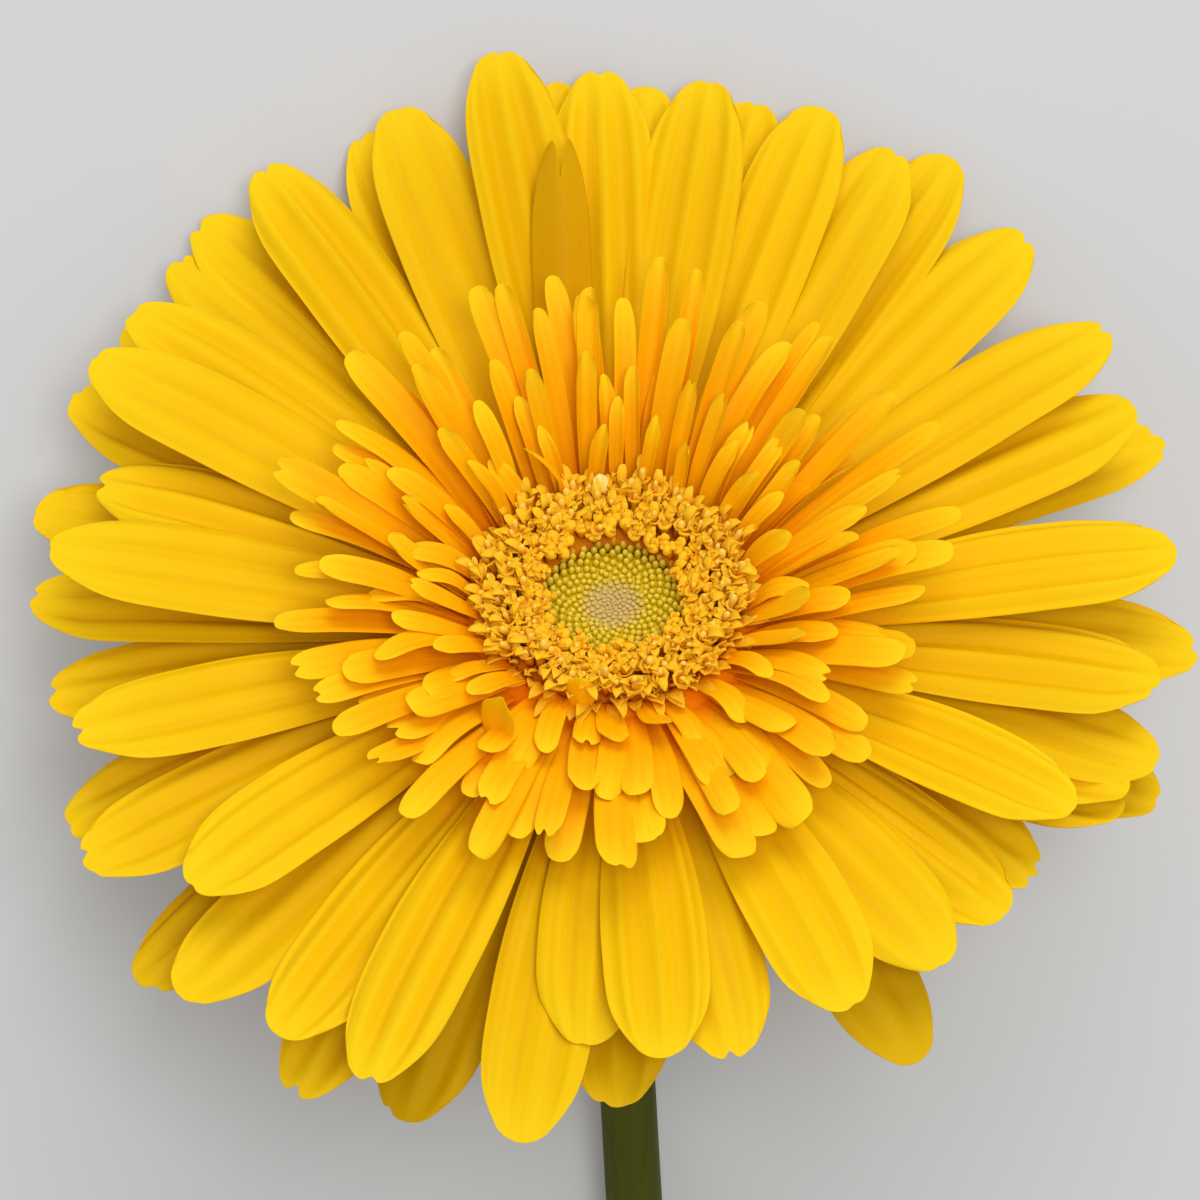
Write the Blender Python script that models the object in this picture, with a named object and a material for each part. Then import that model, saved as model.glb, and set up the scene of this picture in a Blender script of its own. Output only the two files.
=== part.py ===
"""A cut gerbera lying on a surface: one yellow bloom, facing up, on a leafless stalk.

The bloom is modelled upright about its own axis and then leaned over, so that its lowest ray
tips and the stalk's cut end touch the surface at z = 0. Metres, +Z up, +Y towards the bloom.
"""

import math
import random

import bmesh
import bpy
import numpy as np
from mathutils import Vector

MM = 0.001

# The bloom's own frame has its centre at the level of the disc, with heights along its axis.
# The axis rises at FACE_ELEVATION from the surface, and the stalk leaves along it, behind.
DISC_HEIGHT = 35.0 * MM
FACE_ELEVATION = math.radians(40)
AXIS = np.array([0.0, math.cos(FACE_ELEVATION), math.sin(FACE_ELEVATION)])
CLEARANCE = 0.3 * MM

# The receptacle is the stalk's flared top. Every ring of the bloom stands on its flat face.
RECEPTACLE_FACE = -7.0 * MM
RECEPTACLE_BOTTOM = -20.0 * MM
RECEPTACLE_RADIUS = 15.5 * MM
SEAT = RECEPTACLE_FACE + CLEARANCE

# The large rays, layer by layer from the front: azimuth round the face in degrees, with 90 on
# the low side that rests on the surface, and length in millimetres.
RAY_LAYERS = (
    (
        (5, 40), (31, 43), (60, 44), (80, 44), (101, 47), (127, 46), (153, 43), (176, 40),
        (216, 35), (245, 40), (277, 33), (299, 33), (334, 34),
    ),
    (
        (23, 41), (45, 45), (68, 45), (91, 45), (113, 45), (144, 44), (163, 38), (195, 38),
        (236, 39), (267, 30), (284, 33), (310, 33), (353, 38),
    ),
    (
        (56, 47), (137, 46), (206, 41), (224, 41), (261, 39), (320, 33), (329, 33), (343, 37),
        (347, 39),
    ),
    (
        (0, 42), (75, 45), (96, 45), (132, 48), (154, 45), (174, 42), (198, 41), (237, 41),
        (270, 34), (339, 37),
    ),
    (
        (25, 45), (87, 45), (116, 46), (142, 47), (164, 44), (184, 40), (216, 42), (246, 38),
        (306, 37), (344, 40),
    ),
)
RAY_WIDTH = 9.6 * MM
RAY_ROOT_RADIUS = 14.0 * MM
RAY_ROOT_HEIGHT = -4.2 * MM
RAY_LAYER_STEP = 0.40 * MM
RAY_ARCH = math.radians(20)
RAY_LIFT = math.radians(7.5)
RAY_LIFT_STEP = math.radians(2.9)
RAY_SWING = math.radians(13.5)
RAY_SWING_STEP = math.radians(0.6)
RAY_TIP_ROUNDING = 0.055
RAY_THICKNESS = 0.95 * MM
RAY_GROOVE = 0.30 * MM
RAY_RING_OUTER = 16.8 * MM
RAY_RING_TOP = -3.6 * MM
RAY_RING_CHAMFER = 1.2 * MM

# Rays on the low side are bent up by the surface. Each layer is held further off it than the
# layer behind, and two rays of the last layer touch it.
SURFACE_GAP = 0.7 * MM
SURFACE_GAP_STEP = 0.9 * MM
TOUCHING_RAYS = ((3, 75), (4, 116))

# The short inner rays, row by row from the disc outwards.
INNER_ROWS = (
    # count, root radius and height, length, mean lift, swing of the lift round the face
    (16, 12.8 * MM, -0.9 * MM, 8.0 * MM, math.radians(42), math.radians(25)),
    (20, 13.1 * MM, -1.2 * MM, 12.0 * MM, math.radians(36), math.radians(24)),
    (24, 13.4 * MM, -1.5 * MM, 16.0 * MM, math.radians(30), math.radians(22)),
    (27, 13.7 * MM, -1.8 * MM, 19.5 * MM, math.radians(24), math.radians(20)),
)
INNER_WIDTH = 3.4 * MM
INNER_ARCH = math.radians(14)
INNER_TIP_ROUNDING = 0.06
INNER_FAR_STRETCH = 0.12
INNER_RING_OUTER = 14.8 * MM
INNER_RING_TOP = -0.6 * MM
INNER_RING_CHAMFER = 1.6 * MM

# The disc: open florets in a ring, and unopened buds in the hollow centre.
RING_BORE = 9.7 * MM
FLORET_RING_BORE = 6.8 * MM
FLORET_COUNT = 84
FLORET_SIDES = 4
FLORET_INNER = 7.7 * MM
FLORET_OUTER = 11.3 * MM
FLORET_FOOT_RADIUS = 0.7 * MM
FLORET_SINK = 0.6 * MM
FLANGE_RADIUS = 12.1 * MM
FLANGE_THICKNESS = 0.8 * MM
BUD_COUNT = 64
BUD_RADIUS = 0.62 * MM
BUD_SPREAD = 5.7 * MM
BUD_DISC_RADIUS = 6.5 * MM
BUD_DISC_RIM = -0.4 * MM
BUD_DISC_HOLLOW = 0.5 * MM
GOLDEN_ANGLE = math.pi * (3 - math.sqrt(5))

# Bracts under the bloom, row by row from the stalk upwards.
BRACT_ROWS = (
    # count, height of the roots, length, lift
    (9, -17.0 * MM, 10.8 * MM, math.radians(46)),
    (10, -14.4 * MM, 9.0 * MM, math.radians(39)),
    (11, -12.2 * MM, 6.8 * MM, math.radians(28)),
)
BRACT_WIDTH = 4.0 * MM
BRACT_ARCH = math.radians(12)
BRACT_CUP_TOP = -8.6 * MM
BRACT_CUP_BOTTOM = -18.4 * MM
BRACT_CUP_WALL = 1.2 * MM

# The stalk runs as one cubic curve from the cut end, along the surface, up to the receptacle.
STALK_LENGTH_ON_GROUND = 220.0 * MM
STALK_DRIFT = 14.0 * MM
STALK_RADIUS = 2.7 * MM
STALK_CUT_RADIUS = 3.4 * MM
STALK_REST_HANDLE = 80.0 * MM
STALK_NECK_HANDLE = 38.0 * MM
STALK_RISE = 2.0 * MM
STALK_SIDES = 16
STALK_STATIONS = 22
SHARP = math.radians(40)


def clear_scene():
    """Remove every object that the file opened with."""
    for thing in list(bpy.data.objects):
        bpy.data.objects.remove(thing, do_unlink=True)


def surface_material(name, colour, roughness):
    """A plain Principled surface."""
    material = bpy.data.materials.new(name)
    material.use_nodes = True
    shader = material.node_tree.nodes["Principled BSDF"]
    shader.inputs["Base Color"].default_value = (*colour, 1.0)
    shader.inputs["Roughness"].default_value = roughness
    shader.inputs["Metallic"].default_value = 0.0
    return material


def mesh_object(name, points, faces, material=None):
    """A mesh object linked to the scene, shaded smooth with its sharp corners kept."""
    mesh = bpy.data.meshes.new(name)
    mesh.from_pydata([tuple(p) for p in points], [], faces)
    mesh.shade_smooth()
    mesh.set_sharp_from_angle(angle=SHARP)
    if material is not None:
        mesh.materials.append(material)
    thing = bpy.data.objects.new(name, mesh)
    bpy.context.scene.collection.objects.link(thing)
    return thing


def tube_faces(rings, sides):
    """Quads between consecutive rings of points, which run anticlockwise seen from the far end,
    and a cap on each end."""
    faces = [tuple(reversed(range(sides)))]
    for ring in range(rings - 1):
        low, high = ring * sides, (ring + 1) * sides
        for k in range(sides):
            after = (k + 1) % sides
            faces.append((low + k, low + after, high + after, high + k))
    faces.append(tuple(range((rings - 1) * sides, rings * sides)))
    return faces


def turned_ring(name, profile, sides, material=None):
    """A ring turned round the bloom's axis from the (radius, height) points of its section,
    which run anticlockwise with the axis on their left."""
    points = [
        (radius * math.cos(turn), radius * math.sin(turn), height)
        for radius, height in profile
        for turn in (2 * math.pi * k / sides for k in range(sides))
    ]
    faces = []
    for low in range(len(profile)):
        high = (low + 1) % len(profile)
        for k in range(sides):
            after = (k + 1) % sides
            faces.append(
                (low * sides + k, low * sides + after, high * sides + after, high * sides + k)
            )
    return mesh_object(name, points, faces, material)


def turned_solid(name, profile, sides, material=None):
    """A solid turned round the bloom's axis from its (radius, height) points, bottom to top,
    with a flat face at each end."""
    points = [
        (radius * math.cos(turn), radius * math.sin(turn), height)
        for radius, height in profile
        for turn in (2 * math.pi * k / sides for k in range(sides))
    ]
    return mesh_object(name, points, tube_faces(len(profile), sides), material)


def centreline(fraction, root_radius, root_height, length, lift, arch):
    """Radius, height and slope of a blade's middle line at a fraction of its length. The slope
    falls evenly by the arch angle from root to tip, with the lift as its mean."""
    start = lift + arch / 2
    slope = start - arch * fraction
    radius = root_radius + length / arch * (np.sin(start) - np.sin(slope))
    height = root_height + length / arch * (np.cos(slope) - np.cos(start))
    return radius, height, slope


def blade(azimuth, line, stations, half_widths, section, rounding, roll=0.0, sway=0.0):
    """Points of a petal-like blade: its section is carried along the centreline, turned by the
    roll and pushed aside by the sway as it nears the tip. Points off the middle stop short of
    the tip by the rounding, which rounds its outline. The section runs anticlockwise seen from
    the tip, as (share of the half width, height) pairs."""
    u = np.array([u for u, _ in section])
    v = np.array([v for _, v in section])
    t = np.array(stations)[:, None]
    fraction = t * (1 - rounding * u**2 * t**4)
    radius, height, slope = centreline(fraction, *line)
    aside = u * np.array(half_widths)[:, None]
    turn = roll * t
    across = aside * np.cos(turn) - v * np.sin(turn) + sway * t**2
    out = aside * np.sin(turn) + v * np.cos(turn)
    radius = radius - out * np.sin(slope)
    height = height + out * np.cos(slope)
    x = radius * math.cos(azimuth) - across * math.sin(azimuth)
    y = radius * math.sin(azimuth) + across * math.cos(azimuth)
    return np.stack([x, y, height], axis=-1).reshape(-1, 3)


def above_surface(points):
    """Height above the surface of the lowest of these points of the bloom."""
    rise = -math.cos(FACE_ELEVATION) * points[:, 1] + math.sin(FACE_ELEVATION) * points[:, 2]
    return DISC_HEIGHT + rise.min()


def keep_outer_shell(mesh):
    """Keep only the largest closed surface: this fills hollows that the union sealed, and drops
    loose scraps. An edge that more than two faces share is where two surfaces only touch."""
    work = bmesh.new()
    work.from_mesh(mesh)
    bmesh.ops.triangulate(work, faces=work.faces)
    unseen = set(work.faces)
    shells = []
    while unseen:
        shell = {unseen.pop()}
        border = list(shell)
        while border:
            for edge in border.pop().edges:
                if len(edge.link_faces) > 2:
                    continue
                for other in edge.link_faces:
                    if other in unseen:
                        unseen.remove(other)
                        shell.add(other)
                        border.append(other)
        shells.append(shell)
    shells.sort(key=len)
    spare = [face for shell in shells[:-1] for face in shell]
    bmesh.ops.delete(work, geom=spare, context="FACES")
    work.to_mesh(mesh)
    work.free()


def united(base, repeats):
    """Join the repeats to the base solid in one union, and remove them."""
    group = bpy.data.collections.new(base.name + "_repeats")
    bpy.context.scene.collection.children.link(group)
    for piece in repeats:
        bpy.context.scene.collection.objects.unlink(piece)
        group.objects.link(piece)
    union = base.modifiers.new("union", "BOOLEAN")
    union.operation = "UNION"
    union.operand_type = "COLLECTION"
    union.collection = group
    union.solver = "MANIFOLD"
    graph = bpy.context.evaluated_depsgraph_get()
    joined = bpy.data.meshes.new_from_object(base.evaluated_get(graph))
    base.modifiers.clear()
    material = base.data.materials[0]
    base.data = joined
    joined.materials.clear()
    joined.materials.append(material)
    for piece in list(group.objects):
        bpy.data.objects.remove(piece, do_unlink=True)
    bpy.data.collections.remove(group)
    keep_outer_shell(joined)
    joined.shade_smooth()
    joined.set_sharp_from_angle(angle=SHARP)
    return base


def ray_width(t):
    """Half width of a large ray: a narrow claw that widens to two thirds of the length, then
    draws in to a blunt tip."""
    spread = 0.42 + 0.58 * np.sin(np.pi / 2 * np.minimum(1.0, t / 0.66)) ** 1.3
    tip = np.sqrt(1 - 0.7 * np.clip((t - 0.7) / 0.3, 0.0, 1.0) ** 3)
    return RAY_WIDTH / 2 * spread * tip


def outer_rays(material):
    """The large rays in five layers, rooted in a ring on the receptacle."""
    section = (
        (-0.5, -RAY_THICKNESS),
        (0.5, -RAY_THICKNESS),
        (1.0, -RAY_GROOVE),
        (0.36, -RAY_GROOVE),
        (0.0, 0.0),
        (-0.36, -RAY_GROOVE),
        (-1.0, -RAY_GROOVE),
    )
    stations = (0.0, 0.35, 0.68, 0.90, 1.0)
    half_widths = [ray_width(t) for t in stations]
    draw = random.Random(11)
    pieces = []
    for layer, rays in enumerate(RAY_LAYERS):
        root_height = RAY_ROOT_HEIGHT - RAY_LAYER_STEP * layer
        gap = SURFACE_GAP + SURFACE_GAP_STEP * (len(RAY_LAYERS) - 1 - layer)
        swing = RAY_SWING + RAY_SWING_STEP * layer
        for degrees, millimetres in rays:
            azimuth = math.radians(degrees)
            roll = math.radians(draw.uniform(-7, 7))
            sway = draw.uniform(-1.2, 1.2) * MM

            def at(lift):
                line = (RAY_ROOT_RADIUS, root_height, millimetres * MM, lift, RAY_ARCH)
                return blade(
                    azimuth, line, stations, half_widths, section, RAY_TIP_ROUNDING, roll, sway
                )

            lift = RAY_LIFT - RAY_LIFT_STEP * layer + swing * math.sin(azimuth)
            clear = 0.0 if (layer, degrees) in TOUCHING_RAYS else gap
            while above_surface(at(lift)) < clear:
                lift += math.radians(0.1)
            pieces.append(mesh_object("ray", at(lift), tube_faces(len(stations), len(section))))
    ring = turned_ring(
        "outer_rays",
        (
            (RING_BORE, SEAT),
            (RAY_RING_OUTER, SEAT),
            (RAY_RING_OUTER, RAY_RING_TOP - RAY_RING_CHAMFER),
            (RAY_RING_OUTER - RAY_RING_CHAMFER, RAY_RING_TOP),
            (RING_BORE, RAY_RING_TOP),
        ),
        32,
        material,
    )
    return united(ring, pieces)


def inner_rays(material):
    """The short rays in four rows, rooted in a ring on top of the large rays' ring."""
    section = ((0.0, -0.95 * MM), (1.0, -0.05 * MM), (0.0, -0.30 * MM), (-1.0, -0.05 * MM))
    stations = (0.0, 0.38, 0.78, 1.0)
    half_widths = [INNER_WIDTH / 2 * share for share in (0.5, 0.80, 1.0, 0.6)]
    draw = random.Random(23)
    pieces = []
    for row, (count, root_radius, root_height, length, lift, swing) in enumerate(INNER_ROWS):
        for k in range(count):
            azimuth = 2 * math.pi * (k + 0.37 * row) / count + math.radians(draw.uniform(-1.5, 1.5))
            raised = lift + swing * math.sin(azimuth) + math.radians(draw.uniform(0, 4))
            stretch = length * draw.uniform(0.90, 1.10) * (1 + INNER_FAR_STRETCH * math.sin(azimuth))
            points = blade(
                azimuth,
                (root_radius, root_height, stretch, raised, INNER_ARCH),
                stations,
                half_widths,
                section,
                INNER_TIP_ROUNDING,
                math.radians(draw.uniform(-10, 10)),
                draw.uniform(-0.6, 0.6) * MM,
            )
            pieces.append(mesh_object("ray", points, tube_faces(len(stations), len(section))))
    bottom = RAY_RING_TOP + CLEARANCE
    ring = turned_ring(
        "inner_rays",
        (
            (RING_BORE, bottom),
            (INNER_RING_OUTER, bottom),
            (INNER_RING_OUTER, INNER_RING_TOP - INNER_RING_CHAMFER),
            (INNER_RING_OUTER - INNER_RING_CHAMFER, INNER_RING_TOP),
            (RING_BORE, INNER_RING_TOP),
        ),
        32,
        material,
    )
    return united(ring, pieces)


def spiral(count, inner, outer):
    """Radius and azimuth of evenly spread points on a golden-angle spiral."""
    places = []
    for k in range(count):
        share = (k + 0.5) / count
        places.append((math.sqrt(inner**2 + share * (outer**2 - inner**2)), k * GOLDEN_ANGLE))
    return places


def floret(radius, azimuth, foot, height, lean, mouth_radius, dip):
    """Points of a small trumpet that leans outwards from its foot, with a dipped mouth."""
    points = []
    for share, girth in ((0.0, FLORET_FOOT_RADIUS), (1.0, mouth_radius)):
        for k in range(FLORET_SIDES):
            turn = 2 * math.pi * k / FLORET_SIDES
            x = radius + lean * share + girth * math.cos(turn)
            points.append((x, girth * math.sin(turn), foot + height * share))
    points.append((radius + lean, 0.0, foot + height - dip))
    c, s = math.cos(azimuth), math.sin(azimuth)
    return [(x * c - y * s, x * s + y * c, z) for x, y, z in points]


def floret_faces():
    """A foot cap, the wall, and a fan of triangles down into the mouth."""
    faces = [tuple(reversed(range(FLORET_SIDES)))]
    for k in range(FLORET_SIDES):
        after = (k + 1) % FLORET_SIDES
        faces.append((k, after, FLORET_SIDES + after, FLORET_SIDES + k))
        faces.append((FLORET_SIDES + k, FLORET_SIDES + after, 2 * FLORET_SIDES))
    return faces


def disc_florets(material):
    """The ring of open florets, tallest at the outside, standing on a flanged collar."""
    draw = random.Random(5)
    flange_bottom = INNER_RING_TOP + CLEARANCE
    flange_top = flange_bottom + FLANGE_THICKNESS
    pieces = []
    for radius, azimuth in spiral(FLORET_COUNT, FLORET_INNER, FLORET_OUTER):
        share = (radius - FLORET_INNER) / (FLORET_OUTER - FLORET_INNER)
        height = (2.0 + 1.6 * share + draw.uniform(-0.3, 0.3)) * MM
        lean = (0.2 + 1.0 * share) * MM
        mouth_radius = (0.90 + 0.30 * share) * MM
        dip = (0.1 + 0.6 * share) * MM
        points = floret(
            radius, azimuth, flange_top - FLORET_SINK, height, lean, mouth_radius, dip
        )
        pieces.append(mesh_object("floret", points, floret_faces()))
    collar = turned_ring(
        "disc_florets",
        (
            (FLORET_RING_BORE, SEAT),
            (RING_BORE - CLEARANCE, SEAT),
            (RING_BORE - CLEARANCE, flange_bottom),
            (FLANGE_RADIUS, flange_bottom),
            (FLANGE_RADIUS, flange_top - FLANGE_THICKNESS / 2),
            (FLANGE_RADIUS - FLANGE_THICKNESS, flange_top),
            (FLORET_RING_BORE, flange_top),
        ),
        24,
        material,
    )
    return united(collar, pieces)


def bud_points(radius, azimuth, foot, height):
    """Points of a five-sided cone: its foot, then its peak."""
    x, y = radius * math.cos(azimuth), radius * math.sin(azimuth)
    turns = (azimuth + 2 * math.pi * k / 5 for k in range(5))
    points = [(x + BUD_RADIUS * math.cos(a), y + BUD_RADIUS * math.sin(a), foot) for a in turns]
    return [*points, (x, y, foot + height)]


def disc_buds(material):
    """The unopened buds, packed on a cushion that is hollowed towards the centre."""
    pieces = []
    for radius, azimuth in spiral(BUD_COUNT, 0.0, BUD_SPREAD):
        share = radius / BUD_SPREAD
        foot = BUD_DISC_RIM - BUD_DISC_HOLLOW * (1 - share) - 0.4 * MM
        points = bud_points(radius, azimuth, foot, (1.2 + 0.5 * share) * MM)
        faces = [(4, 3, 2, 1, 0), *((k, (k + 1) % 5, 5) for k in range(5))]
        pieces.append(mesh_object("bud", points, faces))
    cushion = turned_solid(
        "disc_buds",
        (
            (BUD_DISC_RADIUS, SEAT),
            (BUD_DISC_RADIUS, BUD_DISC_RIM - BUD_DISC_HOLLOW),
            (BUD_DISC_RADIUS * 0.9, BUD_DISC_RIM),
            (BUD_DISC_RADIUS * 0.4, BUD_DISC_RIM - BUD_DISC_HOLLOW),
        ),
        24,
        material,
    )
    return united(cushion, pieces)


def receptacle_radius(height):
    """Radius of the receptacle, which flares like a bowl from the stalk to its flat face."""
    share = (height - RECEPTACLE_BOTTOM) / (RECEPTACLE_FACE - RECEPTACLE_BOTTOM)
    return STALK_RADIUS + (RECEPTACLE_RADIUS - STALK_RADIUS) * share**0.8


def bracts(material):
    """The green bracts in three rows, on a thin cup round the receptacle."""
    heights = [BRACT_CUP_BOTTOM + (BRACT_CUP_TOP - BRACT_CUP_BOTTOM) * k / 3 for k in range(4)]
    play = CLEARANCE * 1.6  # along the radius, so that the sloping walls stay clear
    inner = [(receptacle_radius(h) + play, h) for h in heights]
    outer = [(receptacle_radius(h) + play + BRACT_CUP_WALL, h) for h in heights]
    cup = turned_ring("bracts", outer + inner[::-1], 20, material)
    section = ((0.0, -0.6 * MM), (1.0, 0.0), (0.0, 0.2 * MM), (-1.0, 0.0))
    stations = (0.0, 0.5, 1.0)
    half_widths = [BRACT_WIDTH / 2 * share for share in (0.9, 0.85, 0.2)]
    draw = random.Random(3)
    pieces = []
    for row, (count, root_height, length, lift) in enumerate(BRACT_ROWS):
        root_radius = receptacle_radius(root_height) + play + BRACT_CUP_WALL * 0.75
        for k in range(count):
            azimuth = 2 * math.pi * (k + 0.5 * row) / count
            line = (root_radius, root_height, length * draw.uniform(0.93, 1.0), lift, BRACT_ARCH)
            points = blade(azimuth, line, stations, half_widths, section, 0.0)
            pieces.append(mesh_object("bract", points, tube_faces(len(stations), len(section))))
    return united(cup, pieces)


def stalk(material):
    """The stalk with its receptacle, one tube from the cut end to the receptacle's face."""
    centre = np.array([0.0, 0.0, DISC_HEIGHT])
    neck = centre + AXIS * RECEPTACLE_BOTTOM
    cut = np.array([STALK_DRIFT, neck[1] - STALK_LENGTH_ON_GROUND, STALK_CUT_RADIUS])
    handles = np.array(
        [
            cut,
            cut + np.array([-STALK_DRIFT / 2, STALK_REST_HANDLE, STALK_RISE]),
            neck - AXIS * STALK_NECK_HANDLE,
            neck,
        ]
    )
    t = np.linspace(0.0, 1.0, STALK_STATIONS)[:, None]
    weights = np.hstack([(1 - t) ** 3, 3 * t * (1 - t) ** 2, 3 * t**2 * (1 - t), t**3])
    centres = weights @ handles
    slopes = np.hstack([(1 - t) ** 2, 2 * t * (1 - t), t**2]) @ np.diff(handles, axis=0)
    girths = STALK_RADIUS + (STALK_CUT_RADIUS - STALK_RADIUS) * (1 - t[:, 0]) ** 1.5
    flare = np.linspace(RECEPTACLE_BOTTOM, RECEPTACLE_FACE, 7)[1:]
    centres = np.vstack([centres, centre + flare[:, None] * AXIS])
    slopes = np.vstack([slopes, np.tile(AXIS, (len(flare), 1))])
    girths = np.concatenate([girths, [receptacle_radius(h) for h in flare]])
    tangents = slopes / np.linalg.norm(slopes, axis=1, keepdims=True)
    sides = np.cross(np.cross(tangents, [1.0, 0.0, 0.0]), tangents)
    sides /= np.linalg.norm(sides, axis=1, keepdims=True)
    ups = np.cross(tangents, sides)
    turn = (np.arange(STALK_SIDES) + 0.5) * 2 * np.pi / STALK_SIDES
    ring = sides[:, None] * np.cos(turn)[:, None] + ups[:, None] * np.sin(turn)[:, None]
    points = (centres[:, None] + ring * girths[:, None, None]).reshape(-1, 3)
    return mesh_object("stalk", points, tube_faces(len(centres), STALK_SIDES), material)


def seat_on_surface(holder, things):
    """Move the whole flower so that it stands on z = 0 with the middle of its box at x = y = 0."""
    bpy.context.view_layer.update()
    corners = np.array([thing.matrix_world @ v.co for thing in things for v in thing.data.vertices])
    low, high = corners.min(axis=0), corners.max(axis=0)
    holder.location = Vector((-(low[0] + high[0]) / 2, -(low[1] + high[1]) / 2, -low[2]))


def main():
    clear_scene()
    ray_yellow = surface_material("ray_yellow", (0.96, 0.56, 0.01), 0.55)
    inner_yellow = surface_material("inner_yellow", (0.93, 0.50, 0.01), 0.55)
    floret_gold = surface_material("floret_gold", (0.80, 0.38, 0.03), 0.6)
    bud_green = surface_material("bud_green", (0.55, 0.50, 0.10), 0.6)
    bract_green = surface_material("bract_green", (0.10, 0.15, 0.03), 0.6)
    stalk_green = surface_material("stalk_green", (0.09, 0.11, 0.02), 0.5)

    flower = bpy.data.objects.new("gerbera", None)
    bloom = bpy.data.objects.new("bloom", None)
    for empty in (flower, bloom):
        bpy.context.scene.collection.objects.link(empty)
    bloom.parent = flower
    bloom.location = (0.0, 0.0, DISC_HEIGHT)
    bloom.rotation_euler = (FACE_ELEVATION - math.pi / 2, 0.0, 0.0)

    head = [
        outer_rays(ray_yellow),
        inner_rays(inner_yellow),
        disc_florets(floret_gold),
        disc_buds(bud_green),
        bracts(bract_green),
    ]
    for piece in head:
        piece.parent = bloom
    stem = stalk(stalk_green)
    stem.parent = flower
    seat_on_surface(flower, [*head, stem])


main()
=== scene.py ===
"""The looks of a cut yellow gerbera that lies on a pale floor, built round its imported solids.

Every petal, bract and floret is a surface worked out with numpy and placed in its own mesh.
"""

import math
import random

import bpy
import numpy as np
from mathutils import Matrix, Vector


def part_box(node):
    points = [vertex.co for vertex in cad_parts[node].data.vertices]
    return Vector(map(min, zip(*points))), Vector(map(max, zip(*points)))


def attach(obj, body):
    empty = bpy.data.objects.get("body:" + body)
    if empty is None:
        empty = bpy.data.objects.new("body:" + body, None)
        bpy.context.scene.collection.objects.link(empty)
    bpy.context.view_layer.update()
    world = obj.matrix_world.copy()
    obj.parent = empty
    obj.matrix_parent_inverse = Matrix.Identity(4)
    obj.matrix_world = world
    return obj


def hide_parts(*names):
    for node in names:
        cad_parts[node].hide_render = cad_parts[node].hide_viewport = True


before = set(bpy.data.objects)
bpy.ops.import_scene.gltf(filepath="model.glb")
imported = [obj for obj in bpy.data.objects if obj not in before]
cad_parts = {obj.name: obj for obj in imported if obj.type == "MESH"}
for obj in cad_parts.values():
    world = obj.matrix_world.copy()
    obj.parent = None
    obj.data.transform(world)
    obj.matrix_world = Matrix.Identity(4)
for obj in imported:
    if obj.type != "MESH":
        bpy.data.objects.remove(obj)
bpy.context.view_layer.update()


# The stalk is a leafless, downy stem of firm green tissue round a paler pith, cut straight across.
# It grew in one piece with the receptacle, the bowl at its top that carries every floret.
MM = 0.001
FACE_ELEVATION = math.radians(40)
AXIS = np.array([0.0, math.cos(FACE_ELEVATION), math.sin(FACE_ELEVATION)])
LOW_SIDE = np.array([0.0, math.sin(FACE_ELEVATION), -math.cos(FACE_ELEVATION)])
# The middle of the disc is worked out from the box of the cushion, a tilted round block.
SEAT = -6.7 * MM
CUSHION_RADIUS = 6.5 * MM
CUSHION_LOW, CUSHION_HIGH = (np.array(corner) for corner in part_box("disc_buds"))
CENTRE = CUSHION_LOW - AXIS * SEAT + np.array([0.0, LOW_SIDE[1], AXIS[1]]) * CUSHION_RADIUS
CENTRE[0] = (CUSHION_LOW[0] + CUSHION_HIGH[0]) / 2

STALK_LENGTH_ON_GROUND = 220 * MM
STALK_DRIFT = 14 * MM
STALK_RADIUS = 2.7 * MM
STALK_CUT_RADIUS = 3.4 * MM
STALK_REST_HANDLE = 80 * MM
STALK_NECK_HANDLE = 38 * MM
STALK_RISE = 2 * MM
STALK_ROWS = 150
STALK_COLUMNS = 40
RECEPTACLE_BOTTOM = -20 * MM
RECEPTACLE_FACE = -7 * MM
RECEPTACLE_RADIUS = 15.5 * MM
RECEPTACLE_TOP_RADIUS = 3.1 * MM
FLARE_ROWS = 14
RIB_COUNT = 11
RIB_DEPTH = 0.014
RIB_WANDER = 1.5
RIB_BENDS = 5
# From the middle of the cut outwards: share of the stalk's radius, and depth in millimetres.
CUT_PROFILE = ((0.10, 0.55), (0.45, 0.50), (0.78, 0.30), (0.90, 0.02), (0.97, 0.0))
STALK_GREENS = ((0.030, 0.034, 0.001, 1), (0.080, 0.088, 0.005, 1))
STALK_PALE_GREEN = (0.12, 0.14, 0.015, 1)
PITH_GREENS = ((0.36, 0.42, 0.14, 1), (0.66, 0.68, 0.36, 1))


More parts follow.
